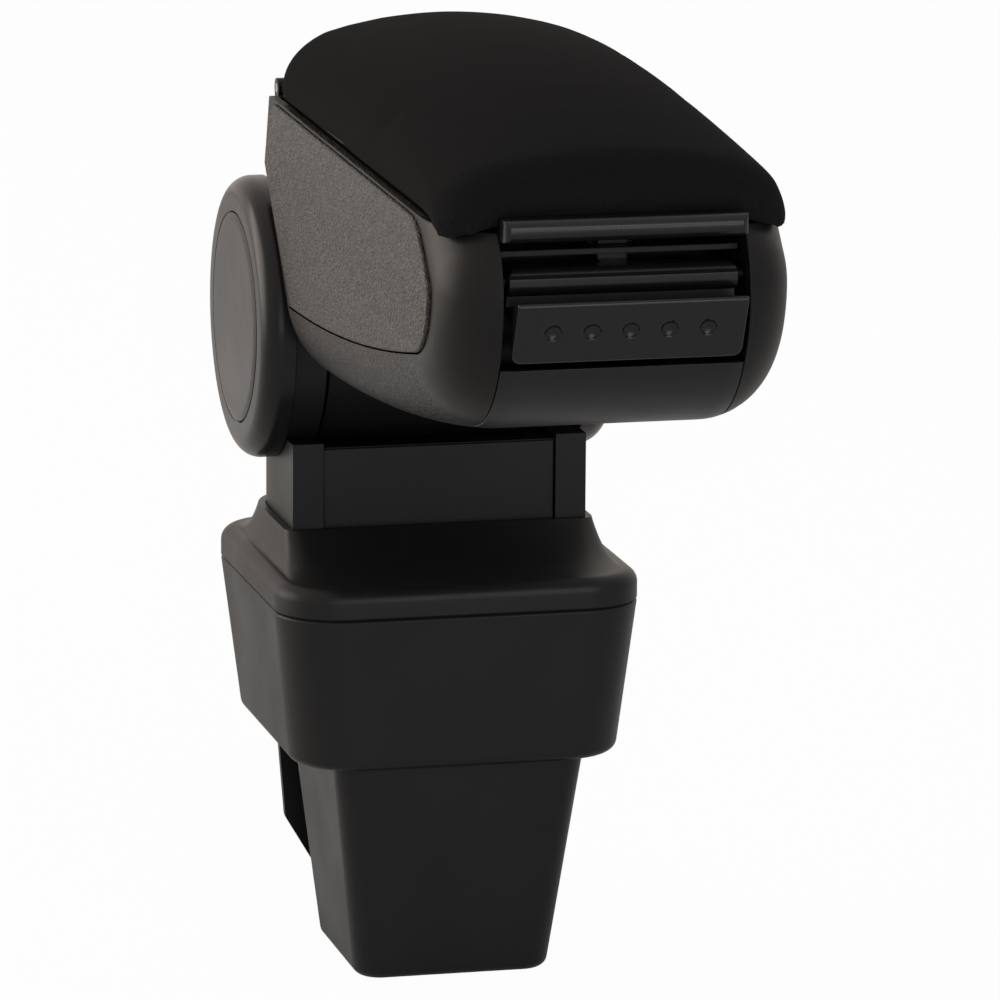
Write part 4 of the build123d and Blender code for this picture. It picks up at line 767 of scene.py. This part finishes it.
@dataclass
class Screws:
    """Pan-head screws with a cross recess, set out by Geometry Nodes; in millimetres."""

    node: str
    places: Sequence[tuple[float, float, float]]
    axis: tuple[float, float, float]
    head_r: float = 3.0
    head_t: float = 1.6
    shank_r: float = 1.5
    shank_l: float = 9.0
    body: Body = Body.HEAD
    sides: int = 24
    # shares of the head's radius and of its thickness, from its seat to its top
    pan: tuple[tuple[float, float], ...] = ((1.0, 0.0), (1.0, 0.45), (0.86, 0.8), (0.66, 1.0))
    # cross recess: shares of the head's radius, of its thickness and of the cross at the recess's floor
    cross_reach: float = 0.55
    cross_half: float = 0.16
    cross_depth: float = 0.62
    cross_floor: float = 0.45
    # each screw is left at a turn of its own
    spin: float = 6.283
    seed: int = 5

    def pattern(self) -> bpy.types.Object:
        """Draws one screw standing on the origin, with its cross recess.

        Returns:
            An object that the tree copies.
        """
        bm = bmesh.new()
        profile = [(self.shank_r, -self.shank_l), (self.shank_r, 0.0)]
        profile += [(share * self.head_r, climb * self.head_t) for share, climb in self.pan]
        turns = [FULL_TURN * k / self.sides for k in range(self.sides)]
        rings = [[bm.verts.new((radius * math.cos(turn), radius * math.sin(turn), z)) for turn in turns]
                 for radius, z in profile]
        join_rings(bm, rings)
        bm.faces.new(list(reversed(rings[0])))
        # outline of the cross, three corners to a quarter
        arm, half = self.cross_reach * self.head_r, self.cross_half * self.head_r
        cross = []
        for quarter in range(4):
            turn = Matrix.Rotation(quarter * math.pi / 2, 3, "Z")
            cross += [turn @ Vector((x, y, self.head_t)) for x, y in ((half, half), (half, arm), (-half, arm))]
        top = [bm.verts.new(p) for p in cross]
        sunk = self.head_t - self.cross_depth * self.head_t
        floor = [bm.verts.new((self.cross_floor * p.x, self.cross_floor * p.y, sunk)) for p in cross]
        # walls of the recess, and the head's top between the cross and the rim, two rim sides to a corner
        rim = rings[-1]
        for k in range(len(cross)):
            nxt = (k + 1) % len(cross)
            bm.faces.new((top[k], top[nxt], floor[nxt], floor[k]))
            a, b, c = (rim[(2 * k + step) % self.sides] for step in (3, 4, 5))
            bm.faces.new((top[k], a, b))
            bm.faces.new((top[k], b, c, top[nxt]))
        bm.faces.new(floor)
        return drawn_object(self.node + "_pattern", bm)

    def build(self) -> bpy.types.Object:
        """Copies the screw to every place and makes one plain mesh.

        Returns:
            The finished set.
        """
        pattern = self.pattern()
        tree = bpy.data.node_groups.new(self.node + "_tree", "GeometryNodeTree")
        tree.interface.new_socket("Geometry", in_out="INPUT", socket_type="NodeSocketGeometry")
        pick = tree.interface.new_socket("Screw", in_out="INPUT", socket_type="NodeSocketObject")
        turn = tree.interface.new_socket("Axis turn", in_out="INPUT", socket_type="NodeSocketRotation")
        coat = tree.interface.new_socket("Finish", in_out="INPUT", socket_type="NodeSocketMaterial")
        tree.interface.new_socket("Geometry", in_out="OUTPUT", socket_type="NodeSocketGeometry")
        given = add_node(tree, "NodeGroupInput")
        info = add_node(tree, "GeometryNodeObjectInfo", {"Object": given.outputs["Screw"]})
        spin = add_node(tree, "FunctionNodeRandomValue", {"Max": self.spin, "Seed": self.seed},
                        data_type="FLOAT")
        axis = add_node(tree, "FunctionNodeAxisAngleToRotation", {"Angle": spin.outputs["Value"]})
        aim = add_node(tree, "FunctionNodeRotateRotation",
                       {"Rotation": axis.outputs[0], "Rotate By": given.outputs["Axis turn"]})
        copies = add_node(tree, "GeometryNodeInstanceOnPoints",
                          {"Points": given.outputs["Geometry"], "Instance": info.outputs["Geometry"],
                           "Rotation": aim.outputs[0]})
        real = add_node(tree, "GeometryNodeRealizeInstances", {"Geometry": copies.outputs["Instances"]})
        dress = add_node(tree, "GeometryNodeSetMaterial",
                         {"Geometry": real.outputs["Geometry"], "Material": given.outputs["Finish"]})
        add_node(tree, "NodeGroupOutput", {"Geometry": dress.outputs["Geometry"]})
        bm = bmesh.new()
        for place in self.places:
            bm.verts.new(place)
        screws = drawn_object(self.node + "_crossed", bm)
        grow = screws.modifiers.new("screws", "NODES")
        grow.node_group = tree
        grow[pick.identifier] = pattern
        grow[turn.identifier] = Vector((0, 0, 1)).rotation_difference(Vector(self.axis)).to_euler()
        grow[coat.identifier] = STEEL.material()
        apply_modifiers(screws)
        bpy.data.objects.remove(pattern)
        wear(screws, STEEL, self.body, [self.node])
        return screws


@dataclass(frozen=True)
class Lamp:
    """A soft rectangular lamp: place and size in metres, power in watts."""

    name: str
    place: tuple[float, float, float]
    size: tuple[float, float]
    power: float
    tint: str

    def light(self, aim: Vector) -> None:
        """Hangs the lamp, out of the camera's sight.

        Args:
            aim: Point that it looks at.
        """
        data = bpy.data.lights.new(self.name, "AREA")
        data.shape = "RECTANGLE"
        data.size, data.size_y = self.size
        data.energy = self.power
        data.color = linear(self.tint)[:3]
        made = bpy.data.objects.new(self.name, data)
        made.location = self.place
        made.visible_camera = False
        made.rotation_mode = "QUATERNION"
        made.rotation_quaternion = (aim - Vector(self.place)).to_track_quat("-Z", "Y")
        bpy.context.scene.collection.objects.link(made)


@dataclass
class Studio:
    """Camera at the photograph's angle, a pale floor, a white surround and three soft lamps."""

    # camera: angles in degrees, lengths in metres, lens and sensor in millimetres
    azimuth: float = -14.05
    elevation: float = 12.11
    roll: float = 0.43
    distance: float = 2.492
    target: tuple[float, float, float] = (0.0268, 0.0, 0.1607)
    lens: float = 252.0
    sensor: float = 36.0
    clip_end: float = 60.0
    # room: light on the object, and how it falls off from the bright side to the dim one
    sky_light: float = 0.44
    dim_side: float = 0.5
    bright_side: tuple[float, float, float] = (-0.5, 0.62, 0.6)
    fall_off: tuple[float, float] = (-0.7, 0.5)
    dim_tint: str = "#f2f5fa"
    bright_tint: str = "#fff6ee"
    white: str = "#ffffff"
    # floor: shares of plain white in what the camera and reflections see of it
    floor_size: float = 8.0
    floor_drop: float = 0.0004
    paper: str = "#f4f4f4"
    seen_white: float = 0.97
    mirrored_white: float = 0.2
    # lamps
    aim: tuple[float, float, float] = (0.0, 0.0, 0.17)
    lamps: tuple[Lamp, ...] = (
        Lamp("key_left", (-2.0, 1.0, 0.7), (1.8, 1.4), 34.0, "#fff4ea"),
        Lamp("fill_front", (0.45, -2.3, 1.25), (1.6, 0.7), 15.0, "#f4f7ff"),
        Lamp("strip_low", (0.15, -2.4, 0.42), (1.8, 0.3), 10.0, "#f4f7ff"),
    )

    def camera(self) -> None:
        """Places the camera that the photograph was taken with."""
        a, e, r = (math.radians(v) for v in (-self.azimuth, self.elevation, self.roll))
        back = Vector((-math.sin(a) * math.cos(e), -math.cos(a) * math.cos(e), math.sin(e)))
        right = Vector((math.cos(a), -math.sin(a), 0.0))
        up = back.cross(right)
        right, up = math.cos(r) * right + math.sin(r) * up, -math.sin(r) * right + math.cos(r) * up
        data = bpy.data.cameras.new("camera")
        data.lens = self.lens
        data.sensor_width = self.sensor
        data.clip_end = self.clip_end
        cam = bpy.data.objects.new("camera", data)
        spot = Vector(self.target) + back * self.distance
        cam.matrix_world = Matrix((
            (right.x, up.x, back.x, spot.x), (right.y, up.y, back.y, spot.y),
            (right.z, up.z, back.z, spot.z), (0.0, 0.0, 0.0, 1.0)))
        bpy.context.scene.collection.objects.link(cam)
        bpy.context.scene.camera = cam

    def surround(self) -> None:
        """White studio: full white to the eye, bright walls in reflections, plain light on the object."""
        world = bpy.data.worlds.new("studio")
        bpy.context.scene.world = world
        world.use_nodes = True
        tree = world.node_tree
        tree.nodes.clear()
        path = add_node(tree, "ShaderNodeLightPath")
        mirrored = add_node(tree, "ShaderNodeMath",
                            {0: path.outputs["Is Glossy Ray"], 1: path.outputs["Is Transmission Ray"]},
                            operation="MAXIMUM")
        level = add_node(tree, "ShaderNodeMapRange",
                         {"Value": mirrored.outputs[0], "To Min": self.sky_light, "To Max": 1.0})
        # bright walls behind and to the left, a dimmer room in front
        way = add_node(tree, "ShaderNodeTexCoord").outputs["Generated"]
        towards = add_node(tree, "ShaderNodeVectorMath", {0: way, 1: self.bright_side},
                           operation="DOT_PRODUCT")
        away, near = self.fall_off
        shade = add_node(tree, "ShaderNodeMapRange",
                         {"Value": towards.outputs["Value"], "From Min": away, "From Max": near,
                          "To Min": self.dim_side, "To Max": 1.0}, interpolation_type="SMOOTHSTEP")
        tint = add_node(tree, "ShaderNodeMix",
                        {0: shade.outputs["Result"], 6: linear(self.dim_tint),
                         7: linear(self.bright_tint)}, data_type="RGBA")
        lit = add_node(tree, "ShaderNodeMath",
                       {0: level.outputs["Result"], 1: shade.outputs["Result"]}, operation="MULTIPLY")
        room = add_node(tree, "ShaderNodeBackground",
                        {"Color": tint.outputs[2], "Strength": lit.outputs[0]})
        plain = add_node(tree, "ShaderNodeBackground", {"Color": linear(self.white), "Strength": 1.0})
        sky = add_node(tree, "ShaderNodeMixShader",
                       {0: path.outputs["Is Camera Ray"], 1: room.outputs[0], 2: plain.outputs[0]})
        add_node(tree, "ShaderNodeOutputWorld", {"Surface": sky.outputs[0]})

    def floor(self) -> None:
        """Pale floor under the plug, white to the eye with a soft shadow kept."""
        bm = bmesh.new()
        bmesh.ops.create_grid(bm, x_segments=1, y_segments=1, size=self.floor_size / 2)
        plane = drawn_object("floor", bm, scale=1.0)
        plane.data.transform(Matrix.Translation((0.0, 0.0, -self.floor_drop)))
        mat = bpy.data.materials.new("floor_paper")
        mat.use_nodes = True
        tree = mat.node_tree
        tree.nodes.clear()
        paper = add_node(tree, "ShaderNodeBsdfDiffuse", {"Color": linear(self.paper)})
        glow = add_node(tree, "ShaderNodeEmission", {"Color": linear(self.white), "Strength": 1.0})
        path = add_node(tree, "ShaderNodeLightPath")
        mirrored = add_node(tree, "ShaderNodeMath",
                            {0: path.outputs["Is Glossy Ray"], 1: self.mirrored_white},
                            operation="MULTIPLY")
        seen = add_node(tree, "ShaderNodeMath",
                        {0: path.outputs["Is Camera Ray"], 1: self.seen_white, 2: mirrored.outputs[0]},
                        operation="MULTIPLY_ADD")
        mix = add_node(tree, "ShaderNodeMixShader",
                       {0: seen.outputs[0], 1: paper.outputs[0], 2: glow.outputs[0]})
        add_node(tree, "ShaderNodeOutputMaterial", {"Surface": mix.outputs[0]})
        plane.data.materials.append(mat)

    def build(self) -> None:
        """Sets the camera, the floor, the surround and the lamps."""
        bpy.context.scene.view_settings.view_transform = "Standard"
        self.camera()
        self.surround()
        self.floor()
        for lamp in self.lamps:
            lamp.light(Vector(self.aim))


MOULDINGS = (
    Moulding("base_tub", Body.BASE, Slot.ABS, SATIN_ABS, 0.8),
    Moulding("rear_leg", Body.BASE, Slot.ABS, SATIN_ABS),
    Moulding("base_cover", Body.BASE, Slot.ABS, SATIN_ABS),
    Moulding("column_shell", Body.BASE, Slot.ABS, SATIN_ABS),
    Moulding("column_front_panel", Body.BASE, Slot.ABS, SATIN_ABS),
    Moulding("left_hinge_disc", Body.BASE, Slot.ABS, DISC_ABS),
    Moulding("right_hinge_disc", Body.BASE, Slot.ABS, DISC_ABS),
    Moulding("left_disc_cap", Body.BASE, Slot.ABS, DISC_ABS, 0.3),
    Moulding("right_disc_cap", Body.BASE, Slot.ABS, DISC_ABS, 0.3),
    Moulding("swing_arm", Body.ARM, Slot.NYLON, NYLON, 0.4),
    Moulding("left_hull_side", Body.HEAD, Slot.ABS, HULL_ABS, 0.3),
    Moulding("right_hull_side", Body.HEAD, Slot.ABS, HULL_ABS, 0.3),
    Moulding("belly_panel", Body.HEAD, Slot.ABS, CHEEK_ABS, 0.3),
    Moulding("left_side_panel", Body.HEAD, Slot.GRAINED, GRAIN_ABS),
    Moulding("right_side_panel", Body.HEAD, Slot.GRAINED, GRAIN_ABS),
    Moulding("storage_tray", Body.HEAD, Slot.ABS, SATIN_ABS, 0.3),
    Moulding("tray_flange", Body.HEAD, Slot.ABS, SATIN_ABS, 0.3),
    Moulding("left_slide_rail", Body.HEAD, Slot.ACETAL, ACETAL, 0.3),
    Moulding("right_slide_rail", Body.HEAD, Slot.ACETAL, ACETAL, 0.3),
    Moulding("lid_pan", Body.LID, Slot.ABS, GRIP_ABS, 0.3),
    Moulding("latch_lever", Body.LATCH, Slot.ABS, GRIP_ABS, 0.4),
)
SCREWS = (
    Screws("belly_screws", tuple((x, -214.0, 234.05) for x in (-24.0, 24.0)), (0.0, 0.0, -1.0),
           head_t=1.25, shank_l=13.4),
    Screws("tray_screws",
           tuple((x, y, z) for x in (-51.7, 51.7)
                 for y, z in ((-196.84, 299.07), (-121.86, 300.49), (-46.87, 301.91))),
           (0.0, -0.0189, 0.9998), shank_l=10.6),
    Screws("rail_screws",
           tuple((x, y, 251.5) for x in (-35.8, 35.8) for y in (-167.2, -116.0, -64.8)),
           (0.0, 0.0, 1.0), shank_r=1.45, shank_l=10.0),
)
PLAIN: dict[Finish, Iterable[str]] = {
    STEEL: ("column_bracket", "bracket_bolts", "bracket_nuts", "hinge_axle", "axle_nut",
            "slide_stop_pin", "lid_hinge_pins"),
    NYLON: ("latch_pin",),
    ACETAL: ("barrel_bushes", "thrust_washers"),
    RUBBER: ("lid_buffers",),
}


def dress_plain(finishes: dict[Finish, Iterable[str]]) -> None:
    """Gives the small solids that stay as they are their materials.

    Args:
        finishes: Finish to the nodes that take it.
    """
    for finish, nodes in finishes.items():
        for node in nodes:
            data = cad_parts[node].data
            data.materials.clear()
            data.materials.append(finish.material())
            LOG.info("%s keeps its solid", node)


def main() -> None:
    """Builds the armrest from the base up, then the studio."""
    dress_plain(PLAIN)
    for moulding in MOULDINGS:
        moulding.build()
    for screws in SCREWS:
        screws.build()
    PaddedLid().build()
    Studio().build()
    bpy.context.view_layer.update()


if __name__ == "__main__":
    logging.basicConfig(level=logging.INFO)
    main()
